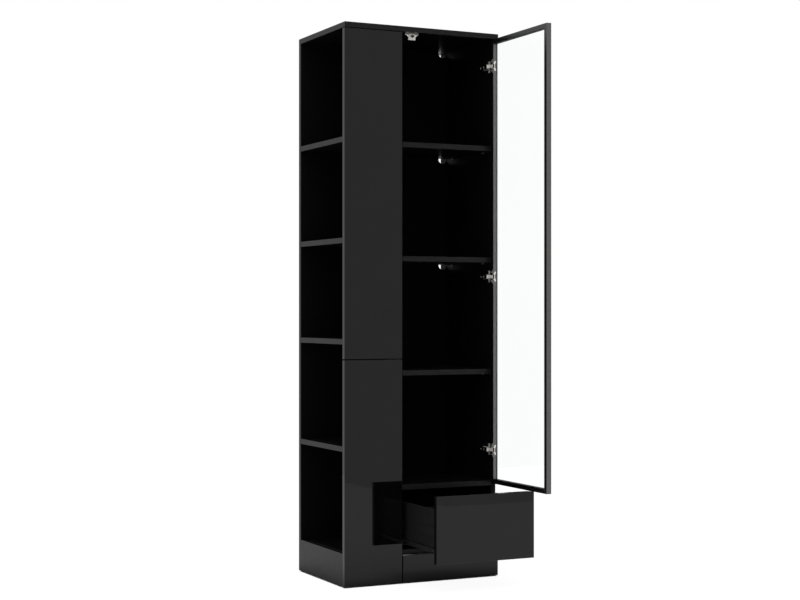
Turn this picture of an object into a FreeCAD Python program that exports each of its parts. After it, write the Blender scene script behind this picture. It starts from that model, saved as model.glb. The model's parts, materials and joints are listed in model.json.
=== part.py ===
"""Tall bookcase: open side shelves, a display bay behind a glass door, and a drawer below it.

The origin is on the floor, at mid-width, in the plane of the carcass's front edges.
+X points to the right, +Y to the back and +Z up. All sizes are millimetres.
The door stands open at a right angle and the drawer is pulled out.
"""
import FreeCAD, Part
import os
import re
import Sketcher

doc = FreeCAD.newDocument("Bookcase")
sheet = doc.addObject("Spreadsheet::Sheet", "Sizes")

# ---------------------------------------------------------------- driving dimensions
DIMENSIONS = {
    # the whole piece
    "width": (590, "overall width"),
    "carcass_depth": (380, "from the carcass's front edges to its back"),
    "height": (1900, "overall height, floor to top"),
    "board": (18, "thickness of the carcass boards"),
    "edge_ease": (0.6, "chamfer along the edges of a lipped board"),
    "glide_height": (3, "height of the glides under the boards"),
    "glide_radius": (8.5, "radius of a glide"),
    "glide_setback": (30, "from a board's end to the middle of a glide"),
    # fronts
    "front_thick": (18, "thickness of a front"),
    "front_gap": (2, "from a closed moving front to the carcass"),
    "joint_gap": (3, "gap between two neighbouring fronts"),
    "top_gap": (2, "gap between the top panel and the fronts below it"),
    "side_reveal": (1.5, "from a moving front to the right side of the piece"),
    # side bay with the open shelves
    "side_bay": (207, "clear width of the open side bay"),
    "side_front": (215.5, "width of the fixed fronts of the side bay"),
    "front_split": (764.5, "top of the lower fixed front"),
    "side_shelf_low": (474, "height of the top of side shelf 4, the lowest"),
    "side_shelf_third": (835, "height of the top of side shelf 3"),
    "side_shelf_second": (1176, "height of the top of side shelf 2"),
    "side_shelf_high": (1516, "height of the top of side shelf 1, the highest"),
    "pilot_radius": (4, "radius of the spare shelf holes in the side bay's back"),
    "pilot_sunk": (9, "depth of the spare shelf holes"),
    "pilot_inset": (55, "from the divider to the spare shelf holes"),
    "pilot_first": (37, "from the top panel down to the highest spare hole"),
    "pilot_second": (89, "from the top panel down to the next spare hole"),
    "pilot_third": (192, "from side shelf 2 up to the spare hole over it"),
    "pilot_fourth": (76, "from side shelf 3 up to the spare hole over it"),
    # plinth
    "plinth_height": (96, "floor to the underside of the bottom panel"),
    "block_width": (124, "width of the block behind the joint of the lower fronts"),
    "block_height": (36, "height of that block"),
    # display bay
    "display_depth": (330, "from the carcass's front edges to the display back"),
    "back_thick": (8, "thickness of the display back"),
    "back_groove": (6, "depth of the grooves that hold the display back"),
    "groove_play": (0.2, "room round a panel in its groove"),
    "drawer_bay": (203, "clear height of the drawer bay"),
    "shelf_play": (0.5, "room beside and behind a loose shelf"),
    "cable_radius": (17.5, "radius of a cable hole"),
    # shelf supports
    "support_radius": (2.5, "radius of a shelf support's pin"),
    "support_length": (8, "how far a support reaches out of the board"),
    "support_sunk": (9, "how far a support's pin goes into the board"),
    "support_inset": (50, "from a shelf's front or back edge to its supports"),
    "hole_play": (0.1, "room round a pin, a screw or a dowel in its hole"),
    # dowels of the carcass
    "dowel_radius": (4, "radius of a dowel"),
    "dowel_sunk": (12, "how far a dowel goes into the face of a board"),
    "dowel_in_end": (22, "how far a dowel goes into the end of a board"),
    "dowel_inset": (60, "from a board's front or back edge to its dowels"),
    # door
    "drawer_front_height": (223.5, "height of the drawer front"),
    "frame_face": (16, "face width of the door frame's bars"),
    "frame_thick": (18, "thickness of the door frame"),
    "frame_lip": (2, "thickness of the frame's front lip over the glass"),
    "glass_groove": (5, "width of the groove for the glass"),
    "groove_floor": (6, "from the frame's outer edge to the floor of the glass groove"),
    "groove_web": (1, "wall between the glass groove and the bar's chamber"),
    "frame_wall": (1.5, "wall of the door frame's bars"),
    "glass_thick": (4, "thickness of the glass"),
    "glass_inset": (7.5, "from the frame's outer edge to the edge of the glass"),
    "gasket_lip": (15.5, "from the frame's outer edge to the gasket's lips"),
    "gasket_play": (0.05, "room on each side of the gasket"),
    "cleat_leg": (36, "length of a corner cleat's legs"),
    "cleat_play": (0.2, "room round a corner cleat in its chamber"),
    # concealed hinges
    "pivot_inset": (6.55, "from the door's hinge edge to the axis it turns about"),
    "pivot_depth": (2.45, "from the door's face to the axis it turns about"),
    "hinge_from_low": (118, "from the door's lower edge to the lowest hinge"),
    "hinge_from_high": (93, "from the door's upper edge to the highest hinge"),
    "hinge_apart": (737, "from the highest hinge to the middle one"),
    "cup_inset": (8.5, "from the door's hinge edge to the pivot in the cup"),
    "cup_depth": (17, "from the door's face to the pivot in the cup"),
    "window_half": (6.5, "half the height of the cup's window"),
    "window_near": (2.3, "from the door's hinge edge to the cup's window"),
    "window_sill": (15, "from the door's face to the sill where a link swings in"),
    "cup_sheet": (1.2, "thickness of the cup's sheet metal"),
    "cup_flange": (24, "half the height of the cup's flange"),
    "cup_screw": (16, "from the hinge's middle to a cup screw"),
    "arm_offset": (13, "from the side panel to the pivot in the hinge arm"),
    "arm_reach": (19, "from the side panel to the outer face of the hinge arm"),
    "arm_base": (6, "from the side panel to the foot of the hinge arm"),
    "arm_back": (48, "from the carcass's front edges to the back of the hinge arm"),
    "arm_nose": (3.5, "how far the arm's ears reach in front of their pivot"),
    "arm_half": (6.7, "half the height of the hinge arm"),
    "arm_wall": (1.2, "wall of the hinge arm"),
    "link_half": (5.2, "half the height of a hinge link"),
    "link_thick": (2.4, "thickness of a hinge link"),
    "link_eye": (2.8, "radius of the eye at the arm's end of a link"),
    "hinge_pin": (1.25, "radius of a hinge pin"),
    "pin_play": (0.08, "running room round a hinge pin"),
    "stub_length": (0.9, "length of the pin's stubs in the cup"),
    "plate_half": (7.5, "half the height of the hinge's mounting plate"),
    "plate_front": (5, "from the carcass's front edges to the mounting plate"),
    "wing_place": (10, "from the carcass's front edges to the wings' screws"),
    "wing_half": (20, "half the height over the wings of the mounting plate"),
    "wing_width": (10, "width of a wing"),
    "wing_thick": (2.5, "thickness of a wing"),
    "wing_screw": (14, "from the hinge's middle to a wing's screw"),
    "screw_radius": (1.9, "radius of a wood screw's shank"),
    "screw_head": (3.6, "radius of a wood screw's head"),
    "head_height": (1.6, "height of a wood screw's head"),
    "screw_sunk": (12, "how far a screw goes into the board"),
    "screw_past": (2, "how far a cup screw reaches past the wall that it holds"),
    "arm_screw_front": (17, "from the carcass's front edges to the arm's front screw"),
    "arm_screw_back": (38, "from the carcass's front edges to the arm's back screw"),
    "arm_screw": (3, "radius of the arm's screws"),
    # push latches
    "latch_place": (40, "from the divider to the middle of the door latch"),
    "latch_front": (6, "from the carcass's front edges to the door latch"),
    "latch_length": (50, "length of the door latch's housing"),
    "latch_width": (23, "width of a latch's housing"),
    "latch_drop": (20, "height of the door latch's housing"),
    "latch_wings": (50, "width over the wings of the latch's bracket"),
    "wing_tip": (3, "height of the bracket at its wing tips"),
    "wing_root": (13, "height of the bracket where its wings meet the housing"),
    "bracket_thick": (2, "thickness of the latch's bracket"),
    "bracket_screw": (22, "from the carcass's front edges to the bracket's screws"),
    "plunger_radius": (4, "radius of a latch's plunger"),
    "plunger_play": (0.08, "running room round a plunger"),
    "plunger_gap": (0.3, "from a plunger to the closed door or drawer"),
    "plunger_drop": (10, "from the top panel to the middle of the door latch's plunger"),
    "plunger_inside": (28, "how far a plunger reaches into its housing"),
    "plunger_travel": (3, "how far a plunger can be pressed"),
    "drawer_latch_length": (34, "length of the drawer latch's housing"),
    "drawer_latch_high": (86, "from the bottom panel to the middle of the drawer latch"),
    # drawer
    "drawer_kept": (45, "length of the pulled-out drawer that stays inside"),
    "drawer_length": (290, "length of the drawer's sides and of its runners"),
    "drawer_side": (12, "thickness of the drawer's sides and back"),
    "drawer_side_height": (140.5, "height of the drawer's sides"),
    "drawer_back_drop": (24, "from the top of the drawer's sides down to the top of its back"),
    "drawer_lift": (18, "from the bottom panel to the underside of the drawer's sides"),
    "drawer_bottom_thick": (4, "thickness of the drawer's bottom"),
    "drawer_bottom_up": (8, "from the underside of the sides to the drawer's bottom"),
    "drawer_groove": (6, "depth of the grooves for the drawer's bottom"),
    "drawer_joint_up": (35, "from the drawer's bottom up to its lower dowels and screws"),
    "drawer_joint_down": (23.5, "from the top of the drawer's back down to its upper dowels and screws"),
    "drawer_dowel": (3, "radius of the dowels between the drawer's sides and its front"),
    "drawer_dowel_front": (11, "how far such a dowel goes into the drawer front"),
    "drawer_dowel_side": (19, "how far such a dowel goes into the end of a side"),
    # roller runners
    "runner_gap": (12.5, "from the carcass to the drawer's side"),
    "runner_sheet": (1.2, "thickness of the runners' sheet metal"),
    "runner_flange": (10, "width of the fixed runner"),
    "lip_clear": (1, "room over the lip of the drawer's runner"),
    "runner_start": (4, "from the carcass's front edges to the fixed runner"),
    "slide_lift": (0.4, "from the underside of the fixed runner to that of the drawer's runner"),
    "slide_shelf": (11, "how far the drawer's runner reaches under the side"),
    "slide_lip": (8.6, "width of the lip that rides on the roller"),
    "lip_short": (1, "from the end of that lip to the drawer's own roller"),
    "roller_radius": (5.7, "radius of a roller"),
    "roller_width": (6.6, "width of a roller"),
    "roller_clear": (0.3, "from a roller to the metal beside it"),
    "roller_inset": (8, "from a runner's end to its roller"),
    "axle_radius": (2, "radius of a roller's axle"),
    "axle_play": (0.08, "running room round an axle"),
    "runner_screw_first": (36, "from the fixed runner's front end to its first screw"),
    "runner_screw_step": (96, "spacing of the runner's screws"),
}
for row, (alias, (size, meaning)) in enumerate(DIMENSIONS.items(), start=1):
    sheet.set(f"A{row}", meaning)
    sheet.set(f"B{row}", str(size))
    sheet.setAlias(f"B{row}", alias)
doc.recompute()


# ---------------------------------------------------------------- helpers
def bound(text):
    """Put the sheet's name before each alias, as the document's expressions need."""
    return re.sub(r"[a-z_]+", lambda word: f"Sizes.{word[0]}" if word[0] in DIMENSIONS else word[0], text)


def value(text):
    """Work an expression of the sheet out as a plain number."""
    return float(sheet.evalExpression(bound(text)))


def bind(item, settings):
    """Tie an object's properties to expressions of the sheet."""
    for name, text in settings.items():
        item.setExpression(name, bound(text))


def place(item, x, y, z):
    """Tie an object's position to expressions of the sheet."""
    bind(item, {"Placement.Base.x": x, "Placement.Base.y": y, "Placement.Base.z": z})


def block(name, x, y, z):
    """A square block. Each of x, y and z holds its two ends."""
    item = doc.addObject("Part::Box", name)
    spans = {"Length": x, "Width": y, "Height": z}
    bind(item, {side: f"({span[1]}) - ({span[0]})" for side, span in spans.items()})
    place(item, x[0], y[0], z[0])
    return item


SLIM_SIDES = 6               # sides of a dowel, a screw's shank or a support's pin
WIDE_SIDES = 8               # sides of a screw's head, a glide or the eye of a link
PIN_HOLE_SIDES = 12          # sides of a hole that a round pin fills
PAST = 1                     # how far a cutting tool reaches past the face that it cuts
ALONG = {
    "x": FreeCAD.Rotation(FreeCAD.Vector(0, 1, 0), 90),
    "y": FreeCAD.Rotation(FreeCAD.Vector(1, 0, 0), -90),
    "z": FreeCAD.Rotation(),
}


def rod(name, axis, start, radius, length):
    """A round rod that runs from start along +X, +Y or +Z."""
    item = doc.addObject("Part::Cylinder", name)
    item.Placement.Rotation = ALONG[axis]
    bind(item, {"Radius": radius, "Height": length})
    place(item, *start)
    return item


def prism(name, axis, start, radius, length, sides):
    """A rod with flat sides, for the small fittings that repeat many times."""
    item = doc.addObject("Part::Prism", name)
    item.Placement.Rotation = ALONG[axis]
    item.Polygon = sides
    bind(item, {"Circumradius": radius, "Height": length})
    place(item, *start)
    return item


def group(name, pieces):
    """Several separate solids that share one node."""
    item = doc.addObject("Part::Compound", name)
    item.Links = pieces
    return item


def fused(name, pieces):
    """One solid made of pieces that meet."""
    item = doc.addObject("Part::MultiFuse", name)
    item.Shapes = pieces
    return item


def cut(name, base, tools):
    """A solid with the tools taken out of it."""
    item = doc.addObject("Part::Cut", name)
    item.Base = base
    item.Tool = tools[0] if len(tools) == 1 else group(f"{name}_tools", tools)
    return item


def new_sketch(body, plane, loops):
    """A sketch on one of a body's own planes, with closed loops of corners held by the sheet."""
    sketch = body.newObject("Sketcher::SketchObject", f"{body.Name}_sketch")
    support = next(part for part in body.Origin.OriginFeatures if part.Role == plane)
    sketch.AttachmentSupport = [(support, "")]
    sketch.MapMode = "FlatFace"
    for corners in loops:
        first = sketch.GeometryCount
        spots = [FreeCAD.Vector(value(across), value(up), 0) for across, up in corners]
        for i, spot in enumerate(spots):
            sketch.addGeometry(Part.LineSegment(spot, spots[(i + 1) % len(spots)]))
        for i, (across, up) in enumerate(corners):
            nearby = first + (i + 1) % len(corners)
            sketch.addConstraint(Sketcher.Constraint("Coincident", first + i, 2, nearby, 1))
            for kind, text in (("DistanceX", across), ("DistanceY", up)):
                index = sketch.addConstraint(
                    Sketcher.Constraint(kind, -1, 1, first + i, 1, value(text)))
                sketch.setExpression(f"Constraints[{index}]", bound(text))
    return sketch


def padded(name, plane, loops, length, reverse=False, middle=False):
    """A body with one section padded along the normal of its plane."""
    body = doc.addObject("PartDesign::Body", name)
    pad = body.newObject("PartDesign::Pad", f"{name}_pad")
    pad.Profile = new_sketch(body, plane, loops)
    pad.Reversed = reverse
    pad.Midplane = middle
    bind(pad, {"Length": length})
    return body


def pocketed(body, plane, loops):
    """Cut loops right through a body, to both sides of the plane that they are drawn on."""
    pocket = body.newObject("PartDesign::Pocket", f"{body.Name}_pocket")
    pocket.Profile = new_sketch(body, plane, loops)
    pocket.Type = "ThroughAll"
    pocket.Midplane = True
    body.Tip = pocket
    return body


def rectangle(x, y):
    """The four corners between two ends across and two ends up."""
    return [(x[0], y[0]), (x[1], y[0]), (x[1], y[1]), (x[0], y[1])]


def panel(name, x, y, z):
    """A lipped board: a padded rectangle with all its edges eased."""
    across = f"({x[1]}) - ({x[0]})"
    deep = f"({y[1]}) - ({y[0]})"
    body = padded(name, "XY_Plane", [rectangle(("0", across), ("0", deep))], f"({z[1]}) - ({z[0]})")
    pad = body.Tip
    ease = body.newObject("PartDesign::Chamfer", f"{name}_ease")
    ease.Base = (pad, ["Face1"])
    ease.UseAllEdges = True
    bind(ease, {"Size": "edge_ease"})
    body.Tip = ease
    place(body, x[0], y[0], z[0])
    return body


nodes = []


def node(label, item):
    """Name a finished piece. Its file gets the same name."""
    item.Label = label
    nodes.append(item)
    return item


# ---------------------------------------------------------------- places that pieces share
LEFT = "(-width/2)"
RIGHT = "(width/2)"
SIDE_IN = "(width/2 - board)"                                # inner face of the right side panel
PLINTH_IN = "(board - width/2)"                              # inner face of the plinth's side
DIVIDER_LEFT = "(side_bay - width/2)"
DIVIDER_RIGHT = "(side_bay + board - width/2)"
BACK = "carcass_depth"
FIXED_FRONT = "(-front_thick)"                               # face of the fronts that stay put
MOVING_FRONT = "(-front_gap - front_thick)"                  # face of the closed door and drawer
UNDER_TOP = "(height - board)"
FRONT_TOP = "(height - board - top_gap)"
BOTTOM_TOP = "(plinth_height + board)"
BAY_CEILING = "(plinth_height + board + drawer_bay)"
DISPLAY_FLOOR = "(plinth_height + 2*board + drawer_bay)"
MOVING_LEFT = "(side_front + joint_gap - width/2)"           # left edge of the door and drawer front
MOVING_RIGHT = "(width/2 - side_reveal)"
DRAWER_FRONT_LOW = "(plinth_height + joint_gap)"
DOOR_LOW = f"({DRAWER_FRONT_LOW} + drawer_front_height + joint_gap)"
DOOR_HIGH = FRONT_TOP
SHELF_COUNT = 3                                              # loose shelves behind the door
DISPLAY_PITCH = f"(({UNDER_TOP} - {DISPLAY_FLOOR} + board)/{SHELF_COUNT + 1})"
BACK_FACE = "display_depth"
BACK_REAR = "(display_depth + back_thick)"

SIDE_SHELF_TOPS = ["side_shelf_high", "side_shelf_second", "side_shelf_third", "side_shelf_low"]
DISPLAY_SHELF_TOPS = [f"({UNDER_TOP} + board - {i}*{DISPLAY_PITCH})" for i in range(1, SHELF_COUNT + 1)]
HINGES = [f"({DOOR_HIGH} - hinge_from_high)", f"({DOOR_HIGH} - hinge_from_high - hinge_apart)",
          f"({DOOR_LOW} + hinge_from_low)"]


# ---------------------------------------------------------------- dowels of the carcass
def dowel_rows():
    """Each row: axis, face that is drilled, +1 or -1 towards the joining board, two places, both boards."""
    rows = []
    side_depths = ["dowel_inset", f"({BACK} - dowel_inset - board)"]
    display_depths = ["dowel_inset", "(display_depth - dowel_inset)"]
    bay_places = [f"({LEFT} + dowel_inset)", f"({DIVIDER_LEFT} - dowel_inset)"]
    divider_middle, side_middle = f"({DIVIDER_LEFT} + board/2)", f"({SIDE_IN} + board/2)"
    floor_middle, bottom_middle = f"({BAY_CEILING} + board/2)", "(plinth_height + board/2)"
    back_middle, plinth_middle = f"({BACK} - board/2)", "(plinth_height/2)"
    for i, top in enumerate(SIDE_SHELF_TOPS, start=1):
        shelf, middle = f"side_shelf_{i}", f"({top} - board/2)"
        front = "upper_front_panel" if value(top) > value("front_split") else "lower_front_panel"
        rows += [("x", DIVIDER_LEFT, -1, deep, middle, "divider_panel", shelf) for deep in side_depths]
        for across in bay_places:
            rows.append(("y", "0", +1, across, middle, front, shelf))
            rows.append(("y", f"({BACK} - board)", -1, across, middle, "side_back_panel", shelf))
    for deep in display_depths:
        rows.append(("x", DIVIDER_RIGHT, +1, deep, floor_middle, "divider_panel", "display_floor_panel"))
        rows.append(("x", SIDE_IN, -1, deep, floor_middle, "right_side_panel", "display_floor_panel"))
    for deep in side_depths:
        rows.append(("x", SIDE_IN, -1, deep, bottom_middle, "right_side_panel", "bottom_panel"))
        rows.append(("x", PLINTH_IN, +1, deep, bottom_middle, "plinth_side", "bottom_panel"))
        rows.append(("z", BOTTOM_TOP, +1, divider_middle, deep, "bottom_panel", "divider_panel"))
        rows.append(("z", UNDER_TOP, -1, divider_middle, deep, "top_panel", "divider_panel"))
        rows.append(("z", UNDER_TOP, -1, side_middle, deep, "top_panel", "right_side_panel"))
    for across in bay_places:
        rows.append(("z", BOTTOM_TOP, +1, across, back_middle, "bottom_panel", "side_back_panel"))
        rows.append(("z", UNDER_TOP, -1, across, back_middle, "top_panel", "side_back_panel"))
        rows.append(("y", "0", +1, across, bottom_middle, "lower_front_panel", "bottom_panel"))
    rows.append(("x", SIDE_IN, -1, back_middle, plinth_middle, "right_side_panel", "plinth_rear_rail"))
    rows.append(("x", PLINTH_IN, +1, back_middle, plinth_middle, "plinth_side", "plinth_rear_rail"))
    rows.append(("y", "0", +1, f"({LEFT} + board/2)", plinth_middle, "lower_front_panel", "plinth_side"))
    rows.append(("y", "0", +1, side_middle, plinth_middle, "plinth_front", "right_side_panel"))
    return rows


def dowel(name, row, play):
    """One dowel, or with play the hole that takes it."""
    axis, face, side, first, second = row[:5]
    low = f"({face} - dowel_sunk - {play})" if side > 0 else f"({face} - dowel_in_end - {play})"
    starts = {"x": (low, first, second), "y": (first, low, second), "z": (first, second, low)}
    return prism(name, axis, starts[axis], f"dowel_radius + {play}", f"dowel_sunk + dowel_in_end + 2*{play}",
                 SLIM_SIDES)


DOWELS = dowel_rows()


def dowel_holes(board):
    """The holes in one board for the dowels that meet it."""
    picked = [row for row in DOWELS if board in row[5:]]
    return [dowel(f"{board}_dowel_hole_{i}", row, "hole_play") for i, row in enumerate(picked)]


# ---------------------------------------------------------------- screws
def screw(name, axis, side, seat, first, second, sunk="screw_sunk"):
    """A pan-head screw. Its head stands on the seat and its shank goes the other way.

    side is +1 where the head stands towards the plus end of the axis. first and second
    are the other two coordinates in X, Y, Z order.
    """
    ends = {+1: (f"({seat} - {sunk})", seat), -1: (seat, f"({seat} - head_height)")}[side]
    pieces = []
    for label, start, radius, length, sides in (
            ("shank", ends[0], "screw_radius", sunk, SLIM_SIDES),
            ("head", ends[1], "screw_head", "head_height", WIDE_SIDES)):
        spots = {"x": (start, first, second), "y": (first, start, second), "z": (first, second, start)}
        pieces.append(prism(f"{name}_{label}", axis, spots[axis], radius, length, sides))
    return fused(name, pieces)


def screw_hole(name, axis, side, seat, first, second, sunk="screw_sunk"):
    """The hole that takes the shank of such a screw."""
    start = f"({seat} - {sunk} - hole_play)" if side > 0 else f"({seat} - hole_play)"
    spots = {"x": (start, first, second), "y": (first, start, second), "z": (first, second, start)}
    return prism(name, axis, spots[axis], "screw_radius + hole_play", f"{sunk} + 2*hole_play", SLIM_SIDES)


WING_SEAT = f"({SIDE_IN} - wing_thick)"
WING_SCREWS = [("x", -1, WING_SEAT, "wing_place", f"({at} {sign} wing_screw)")
               for at in HINGES for sign in "+-"]
RUNNER_LOW = f"({BOTTOM_TOP} + drawer_lift - slide_lift - runner_sheet)"
SLIDE_RISE = "(2*roller_radius + 2*roller_clear + runner_sheet - slide_lift)"
RUNNER_RISE = "(3*runner_sheet + 2*roller_radius + 2*roller_clear + lip_clear)"
RUNNER_SCREW_HEIGHT = f"({RUNNER_LOW} + {RUNNER_RISE}/2)"
RUNNER_SCREWS = 3                                            # in each fixed runner
RUNNER_SCREW_PLACES = [f"(runner_start + runner_screw_first + {i}*runner_screw_step)"
                       for i in range(RUNNER_SCREWS)]
LEFT_RUNNER_SCREWS = [("x", +1, f"({DIVIDER_RIGHT} + runner_sheet)", deep, RUNNER_SCREW_HEIGHT)
                      for deep in RUNNER_SCREW_PLACES]
RIGHT_RUNNER_SCREWS = [("x", -1, f"({SIDE_IN} - runner_sheet)", deep, RUNNER_SCREW_HEIGHT)
                       for deep in RUNNER_SCREW_PLACES]
LATCH_MIDDLE = f"({DIVIDER_RIGHT} + latch_place)"
LATCH_SCREWS = [("z", -1, f"({UNDER_TOP} - bracket_thick)",
                 f"({LATCH_MIDDLE} {sign} (latch_width/2 + latch_wings/2)/2)", "bracket_screw")
                for sign in "+-"]


# ---------------------------------------------------------------- shelf supports
def support_places():
    """Height, depth and side of each pin under the display shelves."""
    return [(f"({top} - board)", deep, side)
            for top in DISPLAY_SHELF_TOPS
            for deep in ("support_inset", "(display_depth - support_inset)")
            for side in (+1, -1)]


def support(name, spot, play="0"):
    """A pin that a shelf rests on. With play, only the hole for it."""
    under, deep, side = spot
    face = DIVIDER_RIGHT if side > 0 else SIDE_IN
    low = f"({face} - support_sunk - {play})" if side > 0 else f"({face} - support_length - {play})"
    return prism(name, "x", (low, deep, f"({under} - support_radius)"),
                 f"support_radius + {play}", f"support_sunk + support_length + 2*{play}", SLIM_SIDES)


SUPPORTS = support_places()


def support_holes(board, side):
    """Holes for the supports on one side of the display bay."""
    picked = [spot for spot in SUPPORTS if spot[2] == side]
    return [support(f"{board}_support_hole_{i}", spot, "hole_play") for i, spot in enumerate(picked)]


# ---------------------------------------------------------------- carcass boards
def back_groove(board, face, side):
    """The groove in an upright board that holds the edge of the display back."""
    ends = (f"({face} - back_groove - groove_play)", face) if side > 0 else \
        (face, f"({face} + back_groove + groove_play)")
    deep = (f"({BACK_FACE} - groove_play)", f"({BACK_REAR} + groove_play)")
    return block(f"{board}_groove", ends, deep, (BOTTOM_TOP, UNDER_TOP))


def make_carcass():
    """The boards that stay together when the door and drawer are taken off."""
    top = panel("top_board", (LEFT, RIGHT), (MOVING_FRONT, BACK), (UNDER_TOP, "height"))
    node("top_panel", cut("top_drilled", top, dowel_holes("top_panel") + [
        screw_hole(f"top_screw_hole_{i}", *spot) for i, spot in enumerate(LATCH_SCREWS)]))

    side = panel("side_board", (SIDE_IN, RIGHT), ("0", BACK), ("glide_height", UNDER_TOP))
    side_holes = dowel_holes("right_side_panel") + support_holes("side", -1)
    side_holes += [screw_hole(f"side_screw_hole_{i}", *spot)
                   for i, spot in enumerate(WING_SCREWS + RIGHT_RUNNER_SCREWS)]
    side_holes.append(back_groove("side", SIDE_IN, -1))
    node("right_side_panel", cut("side_drilled", side, side_holes))

    divider = panel("divider_board", (DIVIDER_LEFT, DIVIDER_RIGHT), ("0", BACK), (BOTTOM_TOP, UNDER_TOP))
    divider_holes = dowel_holes("divider_panel") + support_holes("divider", +1)
    divider_holes += [screw_hole(f"divider_screw_hole_{i}", *spot)
                      for i, spot in enumerate(LEFT_RUNNER_SCREWS)]
    divider_holes.append(back_groove("divider", DIVIDER_RIGHT, +1))
    node("divider_panel", cut("divider_drilled", divider, divider_holes))

    bottom = panel("bottom_board", (PLINTH_IN, SIDE_IN), ("0", BACK), ("plinth_height", BOTTOM_TOP))
    node("bottom_panel", cut("bottom_drilled", bottom, dowel_holes("bottom_panel")))

    floor = panel("floor_board", (DIVIDER_RIGHT, SIDE_IN), ("0", BACK_FACE), (BAY_CEILING, DISPLAY_FLOOR))
    node("display_floor_panel", cut("floor_drilled", floor, dowel_holes("display_floor_panel")))

    for i, top_level in enumerate(DISPLAY_SHELF_TOPS, start=1):
        node(f"display_shelf_{i}", panel(
            f"display_board_{i}", (f"({DIVIDER_RIGHT} + shelf_play)", f"({SIDE_IN} - shelf_play)"),
            ("0", f"({BACK_FACE} - shelf_play)"), (f"({top_level} - board)", top_level)))

    for i, top_level in enumerate(SIDE_SHELF_TOPS, start=1):
        shelf = panel(f"side_board_{i}", (LEFT, DIVIDER_LEFT), ("0", f"({BACK} - board)"),
                      (f"({top_level} - board)", top_level))
        node(f"side_shelf_{i}", cut(f"side_shelf_drilled_{i}", shelf, dowel_holes(f"side_shelf_{i}")))


def make_backs():
    """The thick back of the side bay and the thin, recessed back of the display bay."""
    board = panel("side_back_board", (LEFT, DIVIDER_LEFT), (f"({BACK} - board)", BACK),
                  (BOTTOM_TOP, UNDER_TOP))
    levels = [f"({UNDER_TOP} - pilot_first)", f"({UNDER_TOP} - pilot_second)",
              "(side_shelf_second + pilot_third)", "(side_shelf_third + pilot_fourth)"]
    across, face = f"({DIVIDER_LEFT} - pilot_inset)", f"({BACK} - board - {PAST})"
    spare = [prism(f"spare_hole_{i}", "y", (across, face, at), "pilot_radius", f"pilot_sunk + {PAST}",
                   WIDE_SIDES) for i, at in enumerate(levels)]
    node("side_back_panel", cut("side_back_drilled", board, spare + dowel_holes("side_back_panel")))

    thin = block("display_back_board", (f"({DIVIDER_RIGHT} - back_groove)", f"({SIDE_IN} + back_groove)"),
                 (BACK_FACE, BACK_REAR), (BOTTOM_TOP, UNDER_TOP))
    undersides = [UNDER_TOP] + [f"({top_level} - board)" for top_level in DISPLAY_SHELF_TOPS[:-1]]
    across, face = f"({SIDE_IN} - cable_radius)", f"({BACK_FACE} - {PAST})"
    cable_holes = [rod(f"cable_hole_{i}", "y", (across, face, level), "cable_radius",
                       f"back_thick + 2*{PAST}") for i, level in enumerate(undersides)]
    node("display_back_panel", cut("display_back_drilled", thin, cable_holes))


def make_fixed_fronts():
    """The fronts that close the side bay, and the pieces of the plinth."""
    across = (LEFT, f"({LEFT} + side_front)")
    deep = (FIXED_FRONT, "0")
    low = "glide_height"
    boards = {
        "upper_front_panel": (across, deep, ("(front_split + joint_gap)", FRONT_TOP)),
        "lower_front_panel": (across, deep, (low, "front_split")),
        "plinth_front": ((MOVING_LEFT, RIGHT), deep, (low, "plinth_height")),
        "plinth_side": ((LEFT, PLINTH_IN), ("0", BACK), (low, BOTTOM_TOP)),
        "plinth_rear_rail": ((PLINTH_IN, SIDE_IN), (f"({BACK} - board)", BACK), (low, "plinth_height")),
    }
    for label, spans in boards.items():
        node(label, cut(f"{label}_drilled", panel(f"{label}_board", *spans), dowel_holes(label)))
    joint = f"({MOVING_LEFT} - joint_gap/2)"
    node("plinth_block", block(
        "plinth_block_solid", (f"({joint} - block_width/2)", f"({joint} + block_width/2)"), ("0", "board"),
        ("(plinth_height - block_height)", "plinth_height")))


def make_small_fittings():
    """Glides, dowels and shelf supports."""
    spots = [(f"({side} {sign} board/2)", deep)
             for side, sign in ((LEFT, "+"), (RIGHT, "-"))
             for deep in ("glide_setback", f"({BACK} - glide_setback)")]
    spots += [(f"({LEFT} + side_front/2)", f"({FIXED_FRONT} + front_thick/2)"),
              (f"({MOVING_LEFT} + glide_setback)", f"({FIXED_FRONT} + front_thick/2)"),
              ("0", f"({BACK} - board/2)")]
    node("floor_glides", group("glides", [
        prism(f"glide_{i}", "z", (across, deep, "0"), "glide_radius", "glide_height", WIDE_SIDES)
        for i, (across, deep) in enumerate(spots)]))
    node("carcass_dowels", group("dowels", [dowel(f"dowel_{i}", row, "0") for i, row in enumerate(DOWELS)]))
    node("carcass_screws", group("screws", [
        screw(f"carcass_screw_{i}", *spot)
        for i, spot in enumerate(WING_SCREWS + LEFT_RUNNER_SCREWS + RIGHT_RUNNER_SCREWS + LATCH_SCREWS)]))
    node("shelf_supports", group("supports", [
        support(f"support_{i}", spot) for i, spot in enumerate(SUPPORTS)]))


# ---------------------------------------------------------------- door
# In the door, "in" is the distance from the hinge edge and "deep" the distance from the face.
PIVOT_X = "(width/2 - side_reveal - pivot_inset)"
PIVOT_Y = "(-front_gap - front_thick + pivot_depth)"
DOOR_FACE_X = f"({PIVOT_X} + pivot_depth)"                   # the face of the open door
DOOR_EDGE_Y = f"({PIVOT_Y} + pivot_inset)"                   # the hinge edge of the open door
DOOR_WIDTH = f"({MOVING_RIGHT} - {MOVING_LEFT})"
DOOR_TALL = f"({DOOR_HIGH} - {DOOR_LOW})"
CHAMBER_START = "(frame_lip + glass_groove + groove_web)"
CHAMBER_END = "(frame_thick - frame_wall)"


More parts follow.
